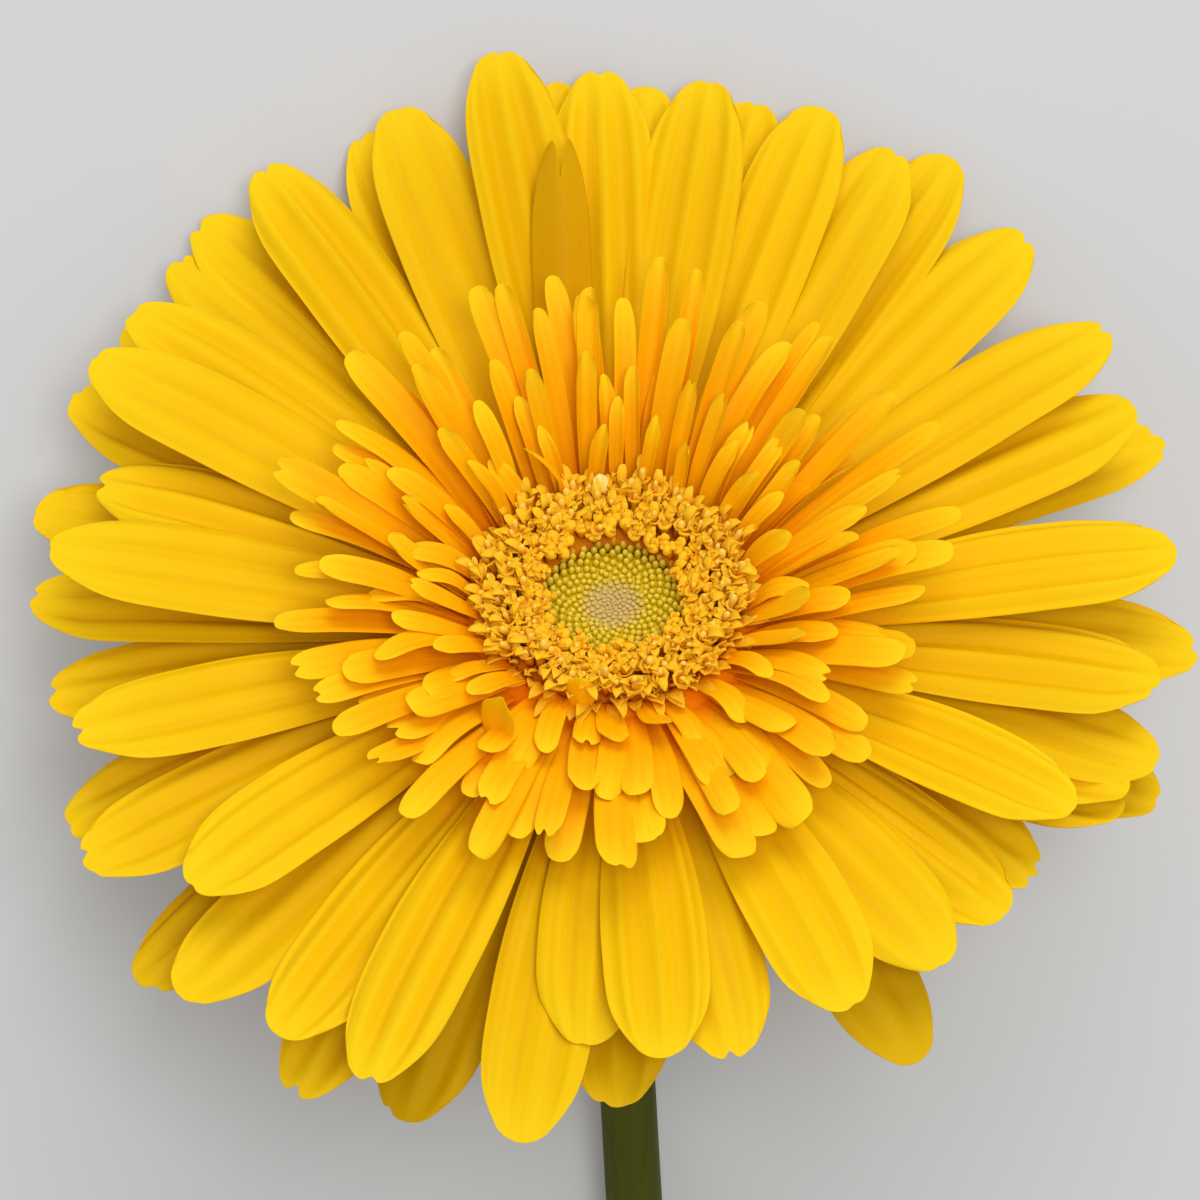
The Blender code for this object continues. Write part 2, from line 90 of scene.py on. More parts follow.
class Strand:
    """A value on its way through a material. Operators between strands and plain numbers add
    Math nodes, and node() adds any other kind of node."""

    def __init__(self, tree, socket=None):
        self.tree = tree
        self.socket = socket

    def node(self, kind, settings, inputs, output=0):
        """Add a node: its settings first, then a value or a strand for each named input."""
        made = self.tree.nodes.new("ShaderNode" + kind)
        for name, value in settings.items():
            if name == "stops":
                while len(made.color_ramp.elements) < len(value):
                    made.color_ramp.elements.new(1.0)
                for stop, (place, colour) in zip(made.color_ramp.elements, value):
                    stop.position = place
                    stop.color = (*colour, 1.0)
            else:
                setattr(made, name, value)
        for name, value in inputs.items():
            if isinstance(value, Strand):
                self.tree.links.new(value.socket, made.inputs[name])
            else:
                made.inputs[name].default_value = value
        return Strand(self.tree, made.outputs[output])

    def maths(self, operation, first, second=0.0):
        return self.node("Math", {"operation": operation}, {0: first, 1: second})

    def __add__(self, other):
        return self.maths("ADD", self, other)

    def __sub__(self, other):
        return self.maths("SUBTRACT", self, other)

    def __rsub__(self, other):
        return self.maths("SUBTRACT", other, self)

    def __mul__(self, other):
        return self.maths("MULTIPLY", self, other)

    def __pow__(self, other):
        return self.maths("POWER", self, other)

    def __rpow__(self, other):
        return self.maths("POWER", other, self)

    def __abs__(self):
        return self.maths("ABSOLUTE", self)

    __radd__ = __add__
    __rmul__ = __mul__

    def cosine(self):
        return self.maths("COSINE", self)

    def parts(self):
        """The three numbers of a vector."""
        return [self.node("SeparateXYZ", {}, {"Vector": self}, axis) for axis in "XYZ"]

    def held(self, low=0.0, high=1.0):
        """The value kept between two limits."""
        return self.node("Clamp", {}, {"Value": self, "Min": low, "Max": high})

    def towards(self, first, second):
        """The first colour turning into the second as this value goes from 0 to 1."""
        return self.node("Mix", {"data_type": "RGBA"}, {0: self, 6: first, 7: second}, 2)

    def along_stops(self, *stops):
        """The colour that a ramp has at this value, from its stops: a place and a colour each."""
        return self.node("ValToRGB", {"stops": stops}, {"Fac": self})


class Skin:
    """A new material that reads a point's place in the object, and the four numbers that its
    surface gives it: across, along, side and tint."""

    def __init__(self, name, **finish):
        self.material = bpy.data.materials.new(name)
        self.material.use_nodes = True
        tree = self.material.node_tree
        self.shader = tree.nodes["Principled BSDF"]
        self.start = Strand(tree)
        self.point = self.start.node("TexCoord", {}, {}, "Object")
        place = self.start.node("Attribute", {"attribute_name": "place"}, {}, "Vector")
        self.across, self.along, self.side = place.parts()
        self.tint = self.start.node("Attribute", {"attribute_name": "tint"}, {}, "Fac")
        for name, value in finish.items():
            self.shader.inputs[name.replace("_", " ")].default_value = value

    def noise(self, vector, scale, detail=2.0):
        """Smooth noise from 0 to 1 on a vector."""
        return self.start.node("TexNoise", {}, {"Vector": vector, "Scale": scale, "Detail": detail})

    def vector(self, x, y, z):
        """A vector from three values."""
        return self.start.node("CombineXYZ", {}, {"X": x, "Y": y, "Z": z})

    def wear(self, colour, roughness=None, height=None, depth=0.0):
        """Feed the surface's colour and roughness, and raise its bumps by the height times the
        depth in metres."""
        links = self.start.tree.links
        links.new(colour.socket, self.shader.inputs["Base Color"])
        if roughness is not None:
            links.new(roughness.socket, self.shader.inputs["Roughness"])
        if height is not None:
            bump = self.start.node("Bump", {}, {"Height": height, "Distance": depth}, "Normal")
            links.new(bump.socket, self.shader.inputs["Normal"])
        return self.material


def placed(points):
    """Points given as x, y and height along the bloom's axis, where they lie in the world:
    the centre, plus x sideways, plus y towards the low side, plus the height along the axis."""
    return CENTRE + points @ np.array([[1.0, 0.0, 0.0], LOW_SIDE, AXIS])


def sleeve_faces(copies, rows, columns, ring=False):
    """Quads of closed sleeves, whose rings of points run anticlockwise seen from the last row.
    Each end is closed by quads that zip one half of its ring to the other, or with ring the
    last row is joined to the first."""
    k = np.arange(columns)
    after = (k + 1) % columns
    row = np.arange(rows if ring else rows - 1)[:, None] * columns
    above = (row + columns) % (rows * columns)
    faces = np.stack([row + k, row + after, above + after, above + k], axis=-1).reshape(-1, 4)
    if not ring:
        k = np.arange(columns // 2 - 1)
        cap = np.stack([k, k + 1, columns - 2 - k, columns - 1 - k], axis=-1)
        faces = np.concatenate([faces, cap[:, ::-1], cap + (rows - 1) * columns])
    starts = np.arange(copies)[:, None, None] * (rows * columns)
    return (faces + starts).reshape(-1, 4)


def grown(name, groups, material, node=None):
    """One object on the root body, from groups of surfaces. Each group has points shaped
    (copies, rows, columns, 3), place (across, along and side) and tint for the material, and
    ring for a closed ring."""
    points, faces, places, tints = [], [], [], []
    start = 0
    for group in groups:
        shape = group["points"].shape[:3]
        faces.append(start + sleeve_faces(*shape, ring=group.get("ring", False)))
        points.append(group["points"].reshape(-1, 3))
        place = np.stack(np.broadcast_arrays(*group["place"], np.zeros(shape))[:3], axis=-1)
        places.append(place.reshape(-1, 3))
        tints.append((group.get("tint", 0.5) + np.zeros(shape)).ravel())
        start += len(points[-1])
    mesh = bpy.data.meshes.new(name)
    mesh.from_pydata(np.concatenate(points), [], np.concatenate(faces))
    attribute = mesh.attributes.new("place", "FLOAT_VECTOR", "POINT")
    attribute.data.foreach_set("vector", np.concatenate(places).ravel())
    attribute = mesh.attributes.new("tint", "FLOAT", "POINT")
    attribute.data.foreach_set("value", np.concatenate(tints))
    mesh.shade_smooth()
    mesh.materials.append(material)
    piece = bpy.data.objects.new(name, mesh)
    bpy.context.scene.collection.objects.link(piece)
    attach(piece, "root")
    if node:
        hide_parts(node)
    return piece


def receptacle_radius(height):
    """Radius of the receptacle: it flares as the 0.8th power of the share of its height."""
    share = (height - RECEPTACLE_BOTTOM) / (RECEPTACLE_FACE - RECEPTACLE_BOTTOM)
    return STALK_RADIUS + (RECEPTACLE_RADIUS - STALK_RADIUS) * np.clip(share, 0.0, 1.0) ** 0.8


def stalk_surface():
    """A round section carried along a cubic curve from the cut end to the receptacle, then up
    the axis. Its radius shrinks from the cut as (1 - t)^1.5, and swells in shallow lengthwise
    ribs: 1 + depth * cos(ribs * angle + wander * sin(bends * t)). Rows at the start dish the cut
    face, and the last one closes the top. Its side number is 1 in the pith and 0 on the rind."""
    neck = CENTRE + AXIS * RECEPTACLE_BOTTOM
    cut = np.array([STALK_DRIFT + CENTRE[0], neck[1] - STALK_LENGTH_ON_GROUND, STALK_CUT_RADIUS])
    rest = cut + np.array([-STALK_DRIFT / 2, STALK_REST_HANDLE, STALK_RISE])
    handles = np.array([cut, rest, neck - AXIS * STALK_NECK_HANDLE, neck])
    t = np.linspace(0.0, 1.0, STALK_ROWS)[:, None]
    weights = np.hstack([(1 - t) ** 3, 3 * t * (1 - t) ** 2, 3 * t**2 * (1 - t), t**3])
    slopes = np.hstack([(1 - t) ** 2, 2 * t * (1 - t), t**2]) @ np.diff(handles, axis=0)
    centres = weights @ handles
    along = t[:, 0]
    girths = STALK_RADIUS + (STALK_CUT_RADIUS - STALK_RADIUS) * (1 - along) ** 1.5
    flare = np.linspace(RECEPTACLE_BOTTOM, RECEPTACLE_FACE, FLARE_ROWS)[1:]
    shares, depths = np.array(CUT_PROFILE).T
    first = slopes[0] / np.linalg.norm(slopes[0])
    dish = centres[0] + depths[:, None] * MM * first
    bowl = CENTRE + flare[:, None] * AXIS
    centres = np.vstack([dish, centres, bowl, CENTRE + RECEPTACLE_FACE * AXIS])
    starts, ends = np.tile(slopes[0], (len(shares), 1)), np.tile(AXIS, (FLARE_ROWS, 1))
    slopes = np.vstack([starts, slopes, ends])
    girths = np.concatenate(
        [shares * girths[0], girths, receptacle_radius(flare), [RECEPTACLE_TOP_RADIUS]]
    )
    along = np.concatenate([np.zeros(len(shares)), along, np.ones(FLARE_ROWS)])
    pith = np.concatenate([1.0 - shares**6, np.zeros(STALK_ROWS + FLARE_ROWS)])
    tangents = slopes / np.linalg.norm(slopes, axis=1, keepdims=True)
    sides = np.cross(np.cross(tangents, [1.0, 0.0, 0.0]), tangents)
    sides /= np.linalg.norm(sides, axis=1, keepdims=True)
    ups = np.cross(tangents, sides)
    turn = (np.arange(STALK_COLUMNS) + 0.5) * 2 * np.pi / STALK_COLUMNS
    wander = RIB_WANDER * np.sin(RIB_BENDS * along[:, None])
    ribs = 1 + RIB_DEPTH * np.cos(RIB_COUNT * turn + wander)
    ring = sides[:, None] * np.cos(turn)[:, None] + ups[:, None] * np.sin(turn)[:, None]
    points = centres[:, None] + ring * (girths[:, None] * ribs)[..., None]
    points[..., 2] = np.maximum(points[..., 2], 0.0)
    return {"points": points[None], "place": (0.0, along[:, None], pith[:, None])}


def stalk_skin():
    """Olive green, streaked lengthwise and paler towards the bloom, with fine down that shows as
    a soft sheen. The cut shows pale, spongy pith."""
    skin = Skin(
        "stalk_skin",
        Sheen_Weight=0.02,
        Sheen_Roughness=0.4,
        Sheen_Tint=(0.75, 0.85, 0.45, 1.0),
        Specular_IOR_Level=0.1,
    )
    stretched = skin.start.node("Mapping", {}, {"Vector": skin.point, "Scale": (900, 45, 900)})
    streaks = skin.noise(stretched, 1.0, 3.0)
    speckle = skin.noise(skin.point, 2600.0, 2.0)
    green = (skin.along * 0.25).towards(streaks.towards(*STALK_GREENS), STALK_PALE_GREEN)
    colour = skin.side.held().towards(green, speckle.towards(*PITH_GREENS))
    return skin.wear(colour, 0.42 + speckle * 0.25, speckle * 0.5 + streaks, 0.09 * MM)


grown("green_stalk", [stalk_surface()], stalk_skin(), "stalk")


# The bracts are the bloom's green outer wrap: pointed, downy leaf tissue in overlapping rows.
# They grew on a thin cup round the receptacle and lie close under the long rays.
BRACT_ROWS = (
    # count, height of the roots, length, lift
    (12, -18.0 * MM, 11.8 * MM, math.radians(43)),
    (13, -14.4 * MM, 9.0 * MM, math.radians(36)),
    (15, -12.2 * MM, 6.8 * MM, math.radians(28)),
)
BRACT_WIDTH = 4.9 * MM
BRACT_ARCH = math.radians(12)
BRACT_THICKNESS = 0.55 * MM
BRACT_KEEL = 0.45 * MM
BRACT_RIM_RISE = 0.5 * MM
BRACT_TIP_DROP = 0.9 * MM
BRACT_CUP_TOP = -8.6 * MM
BRACT_CUP_BOTTOM = -18.4 * MM
BRACT_CUP_WALL = 1.2 * MM
BRACT_CUP_PLAY = 0.48 * MM
# From the stalk upwards: the cup's wall, and its play round the receptacle, as shares of those.
BRACT_CUP_WALLS = np.array([0.15, 0.6, 0.9, 1.0, 1.0, 1.0, 1.0, 1.0])
BRACT_CUP_PLAYS = np.array([0.1, 0.4, 0.8, 1.0, 1.0, 1.0, 1.0, 1.0])
# What differs from bract to bract, as its least and its most.
BRACT_STRAY = (-0.05, 0.05)
BRACT_REACH = (0.90, 1.0)
BRACT_ROLL = (-0.2, 0.2)
BRACT_GREENS = ((0.070, 0.095, 0.004, 1), (0.150, 0.180, 0.014, 1))
BRACT_RIM_GREEN = (0.32, 0.36, 0.06, 1)
BRACT_POINT_BROWN = (0.20, 0.10, 0.03, 1)


def carried(azimuth, root, length, lift, arch, fraction, aside, rise, roll=0.0, sway=0.0):
    """Points of blades, with a section carried out along each centreline. Its slope falls evenly
    by the arch, with the lift as its mean, so radius = root + length / arch * (sin first slope -
    sin slope) and height likewise with cosines. The section is turned by the roll, and pushed
    sideways by the sway times the square of the way along."""
    turn = roll * fraction
    across = aside * np.cos(turn) - rise * np.sin(turn) + sway * fraction**2
    out = aside * np.sin(turn) + rise * np.cos(turn)
    first = lift + arch / 2
    slope = first - arch * fraction
    radius = root[0] + length / arch * (np.sin(first) - np.sin(slope)) - out * np.sin(slope)
    height = root[1] + length / arch * (np.cos(slope) - np.cos(first)) + out * np.cos(slope)
    x = radius * np.cos(azimuth) - across * np.sin(azimuth)
    y = radius * np.sin(azimuth) + across * np.cos(azimuth)
    return np.stack([x, y, height], axis=-1)


def blade_grid(rows, columns):
    """Where each point of a blade lies: t along it, u across it from -1 to 1, and whether it is
    on the top (1) or the underside (0). Rows crowd towards the tip, columns towards the rims."""
    t = 1 - (1 - np.linspace(0.0, 1.0, rows)) ** 1.6
    u = np.sin(np.linspace(-1.0, 1.0, columns) * 1.42) / math.sin(1.42)
    loop = np.concatenate([u, u[::-1]])
    top = np.repeat([0.0, 1.0], columns)
    return t[:, None], loop[None], top[None]


def turned(profile, columns=64):
    """Rings round the bloom's axis, one for each radius and height of the profile, which are in
    millimetres."""
    turn = np.arange(columns) * 2 * np.pi / columns
    radius, height = (np.array(values)[:, None] * MM for values in zip(*profile))
    return np.stack(
        np.broadcast_arrays(radius * np.cos(turn), radius * np.sin(turn), height), axis=-1
    )[None]


def column(values):
    """One value for each copy, shaped to fill that copy's rows and columns."""
    return np.array(values, dtype=float)[:, None, None]


def bract_surfaces():
    """Blades that narrow to a point, with a width of 0.06 + 0.94 (1 - t)^0.75 that is drawn in at
    the root too. A keel along the back stands out as 1 - |u|, the rims rise as u^2, and the point
    dips. The cup is a profile turned round the receptacle, thin where it meets the stalk."""
    draw = np.random.default_rng(3)
    t, u, top = blade_grid(16, 7)
    groups = []
    for row, (count, root_height, length, lift) in enumerate(BRACT_ROWS):
        root_radius = receptacle_radius(root_height) + BRACT_CUP_PLAY + BRACT_CUP_WALL * 1.25
        azimuth = 2 * np.pi * (np.arange(count) + 0.5 * row) / count
        width = BRACT_WIDTH / 2 * (0.06 + 0.94 * (1 - t) ** 0.75)
        width = width * np.minimum(1.0, 0.55 + 2.2 * t)
        keel = BRACT_KEEL * (1 - np.abs(u)) * (1 - top) * (1 - 0.7 * t)
        rise = -BRACT_THICKNESS * (1 - top) * (1 - 0.8 * np.abs(u) ** 2) * (1 - 0.6 * t) - keel
        rise = rise + BRACT_RIM_RISE * u**2
        rise = rise - BRACT_TIP_DROP * np.clip((t - 0.7) / 0.3, 0, 1) ** 2
        points = carried(
            column(azimuth + draw.uniform(*BRACT_STRAY, count)),
            (root_radius, root_height),
            column(length * draw.uniform(*BRACT_REACH, count)),
            lift,
            BRACT_ARCH,
            t + 0 * u,
            width * u,
            rise,
            roll=column(draw.uniform(*BRACT_ROLL, count)),
        )
        groups.append(
            {"points": placed(points), "place": (u, t, top), "tint": column(draw.random(count))}
        )
    heights = np.linspace(BRACT_CUP_BOTTOM, BRACT_CUP_TOP, len(BRACT_CUP_WALLS))
    radii = receptacle_radius(heights) + BRACT_CUP_PLAY * BRACT_CUP_PLAYS
    inner = np.stack([radii, heights], axis=-1) / MM
    outer = inner + np.outer(BRACT_CUP_WALLS, [BRACT_CUP_WALL / MM, 0])
    profile = np.concatenate([outer, inner[::-1]])
    cup = {"points": placed(turned(profile)), "place": (0.0, 0.3, 0.0), "ring": True}
    return [*groups, cup]


def bract_skin():
    """Leaf green with paler rims and a brownish point, matt and downy."""
    skin = Skin(
        "bract_skin",
        Sheen_Weight=0.04,
        Sheen_Tint=(0.8, 0.9, 0.4, 1.0),
        Specular_IOR_Level=0.15,
    )
    grain = skin.noise(skin.point, 1700.0, 3.0)
    rim = (skin.across * skin.across) ** 2.5
    green = (rim * 0.55).towards(grain.towards(*BRACT_GREENS), BRACT_RIM_GREEN)
    tip = ((skin.along - 0.82) * 5.0).held()
    colour = (tip * 0.7).towards(green, BRACT_POINT_BROWN)
    return skin.wear(colour, 0.5 + grain * 0.2, grain, 0.1 * MM)


grown("bract_rows", bract_surfaces(), bract_skin(), "bracts")


# The long rays are the big outer petals: thin, satin yellow blades in five whorls, each pleated
# lengthwise, with a blunt, notched tip. They grew from a ring on top of the receptacle.
RAY_LAYERS = (
    # azimuth round the face in degrees, with 90 on the low side, and length in millimetres
    (
        (5, 40), (31, 43), (60, 44), (80, 44), (101, 47), (127, 46), (153, 43), (176, 40),
        (216, 35), (245, 40), (277, 33), (299, 33), (334, 34),
    ),
    (
        (23, 41), (45, 45), (68, 45), (91, 45), (113, 45), (144, 44), (163, 38), (195, 38),
        (236, 39), (267, 30), (284, 33), (310, 33), (353, 38),
    ),
    (
        (56, 47), (137, 46), (206, 41), (224, 41), (261, 39), (320, 33), (329, 33), (343, 37),
        (347, 39),
    ),
    (
        (0, 42), (75, 45), (96, 45), (132, 48), (154, 45), (174, 42), (198, 41), (237, 41),
        (270, 34), (339, 37),
    ),
    (
        (25, 45), (87, 45), (116, 46), (142, 47), (164, 44), (184, 40), (216, 42), (246, 38),
        (306, 37), (344, 40),
    ),
)
FRONT_RAYS = len(RAY_LAYERS[0] + RAY_LAYERS[1])
RAY_ROWS = 52
RAY_COLUMNS = 31
RAY_WIDTH = 10.0 * MM
RAY_ROOT_RADIUS = 14.0 * MM
RAY_ROOT_HEIGHT = -4.2 * MM
RAY_LAYER_STEP = 0.55 * MM
RAY_ARCH = math.radians(20)
RAY_LIFT = math.radians(7.5)
RAY_LIFT_STEP = math.radians(3.2)
RAY_SWING = math.radians(13.5)
RAY_SWING_STEP = math.radians(0.6)
RAY_TUCK = math.radians(2.2)
RAY_TUCK_REACH = 15
RAY_THICKNESS = 0.42 * MM
RAY_ROOT_THICKENING = 0.5 * MM
RAY_ROLL = 7
RAY_SWAY = 1.2
RAY_TWIST_KEPT = 0.35
RAY_TIP_ROUNDING = 2.9 * MM
# What differs from ray to ray, as its least and its most. Depths and heights are in millimetres.
ANY_PHASE = (0, 6.28)
RAY_BREADTH = (0.95, 1.06)
RAY_PLEATS = (1.35, 1.6)
RAY_PLEAT_SHIFT = (-0.12, 0.12)
RAY_PLEAT_DEPTH = (0.22, 0.70)
RAY_RIDGE_DEPTH = (0.0, 0.12)
RAY_RIDGES = (14, 20)
RAY_CROWN = (-0.3, 0.6)
RAY_RIPPLE = (0.05, 0.22)
RAY_RIPPLES = (5, 9)
RAY_WAVE = (0.05, 0.2)
RAY_WAVES = (4, 7)
RAY_TINT = (0.0, 0.45)
RAY_CURL = (-1.3, 1.0)
RAY_NOTCH_PLACE = (-0.1, 0.6)
RAY_NOTCHES = (1.1 * MM, 0.9 * MM)
# The least space between a ray and the surface under the flower, and how much more it is for each
# whorl beneath the ray's own. Two rays, given by whorl and azimuth, touch the surface.
SURFACE_GAP = 0.5 * MM
SURFACE_GAP_STEP = 0.9 * MM
TOUCHING_RAYS = ((3, 75), (4, 116))
LIFTING_STEP = math.radians(0.1)
# Painted shade: how much darker the tint makes each whorl in turn, how much more shade the lowest
# two whorls of the high side get, and the colour of that full shade.
WHORL_SHADE = 0.14
SHADE_TINT = 1.25
SHADED_PETAL = (0.56, 0.33, 0.0005, 1)
RAY_RING = ((9.7, -6.7), (16.8, -6.7), (16.8, -4.8), (15.6, -3.6), (9.7, -3.6))


def bell(value, width):
    """A smooth bump of height 1 at 0: exp(-(value / width)^2)."""
    return np.exp(-((value / width) ** 2))


def share_of(value, start, end):
    """How far the value has gone from start to end, kept between 0 and 1."""
    return np.clip((value - start) / (end - start), 0.0, 1.0)


def long_ray_surfaces():
    """Blades whose half width is 0.42 + 0.58 sin^1.3 up to two thirds of the length, then draws
    in to an arc at the tip, with two small notches. Across the top run pleats, a zigzag with
    rounded folds: arcsin(0.93 cos(2 pi u)). Finer ridges lie on them, the middle stands above the
    rims as |u|^2.2, and each blade ripples, waves and curls along its length. It is lifted until
    it clears the floor. Besides a random tone, the tint is painted shade: it darkens the lower
    whorls, but on the low side the upper ones, and puts full painted shade on the two lowest
    whorls of the high side."""
    rays = [(layer, *ray) for layer, layer_rays in enumerate(RAY_LAYERS) for ray in layer_rays]
    layer, degrees, millimetres = (column(values) for values in zip(*rays))
    count = len(rays)
    # The solids' rays are turned and swayed by the same draws.
    twist = random.Random(11)
    draws = ((twist.uniform(-RAY_ROLL, RAY_ROLL), twist.uniform(-RAY_SWAY, RAY_SWAY)) for _ in rays)
    roll, sway = (column(values) for values in zip(*draws))
    draw = np.random.default_rng(17)

    def vary(low, high):
        return column(draw.uniform(low, high, count))

    t, u, top = blade_grid(RAY_ROWS, RAY_COLUMNS)
    length = millimetres * MM
    azimuth = np.radians(degrees)
    spread = 0.42 + 0.58 * np.sin(np.pi / 2 * np.minimum(1.0, t / 0.66)) ** 1.3
    narrowing = np.sqrt(1 - 0.66 * share_of(t, 0.7, 1.0) ** 3)
    half_width = RAY_WIDTH / 2 * spread * narrowing * vary(*RAY_BREADTH)
    arc = 1 - np.sqrt(1 - 0.96 * u**2)
    notch = vary(0.0, 1.0) ** 3 * RAY_NOTCHES[0] * bell(u - vary(*RAY_NOTCH_PLACE), 0.18)
    notch = notch + vary(0.0, 1.0) ** 3 * RAY_NOTCHES[1] * bell(u + vary(*RAY_NOTCH_PLACE), 0.14)
    fraction = t - RAY_TIP_ROUNDING / length * arc * t**4 - notch / length * t**24

    body = share_of(t, 0.02, 0.30) * share_of(t, 1.0, 0.88)
    pleat = u * vary(*RAY_PLEATS) + vary(*RAY_PLEAT_SHIFT)
    zigzag = np.arcsin(0.93 * np.cos(2 * np.pi * pleat)) / math.asin(0.93)
    pleats = vary(*RAY_PLEAT_DEPTH) * (zigzag - 1) * (1 - 0.5 * u**4)
    pleats = pleats + vary(*RAY_RIDGE_DEPTH) * np.cos(vary(*RAY_RIDGES) * u + vary(*ANY_PHASE))
    crown = vary(*RAY_CROWN) * np.abs(u) ** 2.2 * share_of(t, 0.0, 0.5)
    ripple = vary(*RAY_RIPPLE) * u * np.abs(u)
    ripple = ripple * np.sin(vary(*RAY_RIPPLES) * t + vary(*ANY_PHASE)) * t
    wave = vary(*RAY_WAVE) * np.sin(vary(*RAY_WAVES) * t + vary(*ANY_PHASE)) * t
    curl = vary(*RAY_CURL) * share_of(t, 0.68, 1.0) ** 2
    surface = (ripple + wave + curl - crown + pleats * body) * MM
    thickness = RAY_THICKNESS + RAY_ROOT_THICKENING * share_of(t, 0.25, 0.0)
    thickness = thickness * (1 - 0.88 * u**4) * (1 - 0.85 * t**8)
    rise = surface - thickness * (1 - top)

    beneath = len(RAY_LAYERS) - 1 - layer
    gap = SURFACE_GAP + SURFACE_GAP_STEP * beneath
    touching = np.array([(number, angle) in TOUCHING_RAYS for number, angle, _ in rays])
    gap[touching] = 0.0
    spacing = np.diff(degrees[:, 0, 0], prepend=-360.0)
    tuck = RAY_TUCK * column((spacing > 0) & (spacing < RAY_TUCK_REACH))
    swing = RAY_SWING + RAY_SWING_STEP * layer
    lift = RAY_LIFT - RAY_LIFT_STEP * layer + swing * np.sin(azimuth) - tuck
    root = (RAY_ROOT_RADIUS, RAY_ROOT_HEIGHT - RAY_LAYER_STEP * layer)
    low = np.ones(count, bool)
    while low.any():
        points = placed(
            carried(
                azimuth, root, length, lift, RAY_ARCH, fraction, half_width * u, rise,
                np.radians(roll) * RAY_TWIST_KEPT, sway * MM,
            )
        )
        low = points[..., 2].min(axis=(1, 2)) < gap[:, 0, 0]
        lift[low] += LIFTING_STEP
    # Painted shade in the tint: lower whorls darker, on the low side the upper ones, and the lowest
    # two whorls of the high side fully shaded. The random tone comes on top.
    low_side = np.maximum(np.sin(azimuth), 0.0)
    high_side = np.maximum(-np.sin(azimuth), 0.0)
    tint = WHORL_SHADE * (layer * (1 - low_side) + beneath * low_side) + vary(*RAY_TINT)
    tint = tint + SHADE_TINT * high_side * share_of(layer, 2, 4)
    return [
        {"points": points[chosen], "place": (pleat[chosen], t, top), "tint": tint[chosen]}
        for chosen in (slice(0, FRONT_RAYS), slice(FRONT_RAYS, count))
    ]


def ray_skin(name, root, body, tip, back, streak_and_shade, vein_count, groove):
    """Satin petal tissue, more orange towards the root and paler on the back. Fine lengthwise
    veins, a cosine across the blade to the fourth power, darken the colour a little and stand up
    as a bump. Streaks darken it too, the grooves get painted shade, and the tint darkens it, less
    near the tip, which for the long rays is painted shade; a tint above 1 is painted shade."""
    skin = Skin(name, Specular_IOR_Level=0.05)
    stretched = skin.vector(skin.across * 3.5, skin.along * 1.6, skin.tint * 37.0)
    streaks = skin.noise(stretched, 1.3, 3.0)
    way = (skin.along + (streaks - 0.5) * 0.25).held()
    stops = ((0.0, root), (0.35, body), (0.70, body), (1.0, tip))
    colour = way.along_stops(*stops)
    vein = ((skin.across * vein_count).cosine() * 0.5 + 0.5) ** 4.0
    # Painted shade along the grooves, fading only at the tip.
    aside = (abs(skin.across) - groove) * 4.5
    hollow = (1 - aside * aside).held() * ((1 - skin.along) * 6.0).held()
    # The streak colour is also the colour of painted shade: the grooves and the tint darken towards
    # it.
    darker = vein * 0.04 + (streaks - 0.45).held() * 0.4 + hollow * 0.22
    darker = (darker + skin.tint * (0.42 - skin.along**6.0 * 0.3)).held()
    colour = darker.towards(colour, (*streak_and_shade, 1.0))
    # A tint above 1 mixes in painted shade.
    colour = ((skin.tint - 1) * 0.9).held().towards(colour, SHADED_PETAL)
    colour = ((1 - skin.side) * 0.6).towards(colour, (*back, 1.0))
    return skin.wear(colour, 0.42 + streaks * 0.2, vein, 0.015 * MM)


LONG_RAY_SKIN = ray_skin(
    "long_ray_skin",
    root=(0.98, 0.37, 0.0005),
    body=(0.91, 0.545, 0.002),
    tip=(0.93, 0.615, 0.006),
    back=(0.88, 0.54, 0.004),
    streak_and_shade=(0.66, 0.345, 0.0005),
    vein_count=15.0,
    groove=0.5,
)
front_rays, back_rays = long_ray_surfaces()
ray_ring = {"points": placed(turned(RAY_RING)), "place": (0.0, 0.4, 0.0), "ring": True}
grown("long_rays_front", [front_rays], LONG_RAY_SKIN, None)
grown("long_rays_back", [back_rays, ray_ring], LONG_RAY_SKIN, "outer_rays")


# The short rays are the narrow inner petals: soft golden tongues, some with a split tip, in
# four rows round the disc. They stand steeply on the low side and lie flatter on the high side.
SHORT_ROWS = (
    # count, root radius and height, length, mean lift, swing of the lift, width
    (28, 11.9 * MM, -0.2 * MM, 8.8 * MM, math.radians(44), math.radians(25), 2.2 * MM),
    (34, 12.5 * MM, -0.9 * MM, 12.8 * MM, math.radians(37), math.radians(24), 2.6 * MM),
    (39, 13.2 * MM, -1.5 * MM, 16.7 * MM, math.radians(30), math.radians(22), 2.9 * MM),
    (40, 13.7 * MM, -1.8 * MM, 20.0 * MM, math.radians(24), math.radians(20), 3.2 * MM),
)
SHORT_ARCH = math.radians(14)
SHORT_LOW_STRETCH = 0.12
SHORT_THICKNESS = 0.34 * MM
SHORT_ROOT_THICKENING = 0.3 * MM
SHORT_TIP_ROUNDING = 0.95 * MM
SHORT_NARROWING = 0.20
# What differs from ray to ray, as its least and its most. Depths are in millimetres.
SHORT_STRAY = (-0.08, 0.08)
SHORT_REACH = (0.84, 1.12)
SHORT_BREADTH = (0.80, 1.20)
SHORT_SPLIT_SHARE = 0.16
SHORT_SPLIT = (0.4, 1.2)
SHORT_SPLIT_PLACE = (-0.2, 0.2)
SHORT_CHANNEL = (-0.35, 0.35)
SHORT_CREASE = (0.06, 0.30)
SHORT_CURL = (-2.0, 0.6)
SHORT_LIFT = (-4, 8)
SHORT_ROLL = (-24, 24)
SHORT_SWAY = (-1.3, 1.3)
SHORT_RING = ((9.7, -3.3), (14.8, -3.3), (14.8, -2.2), (13.2, -0.6), (9.7, -0.6))


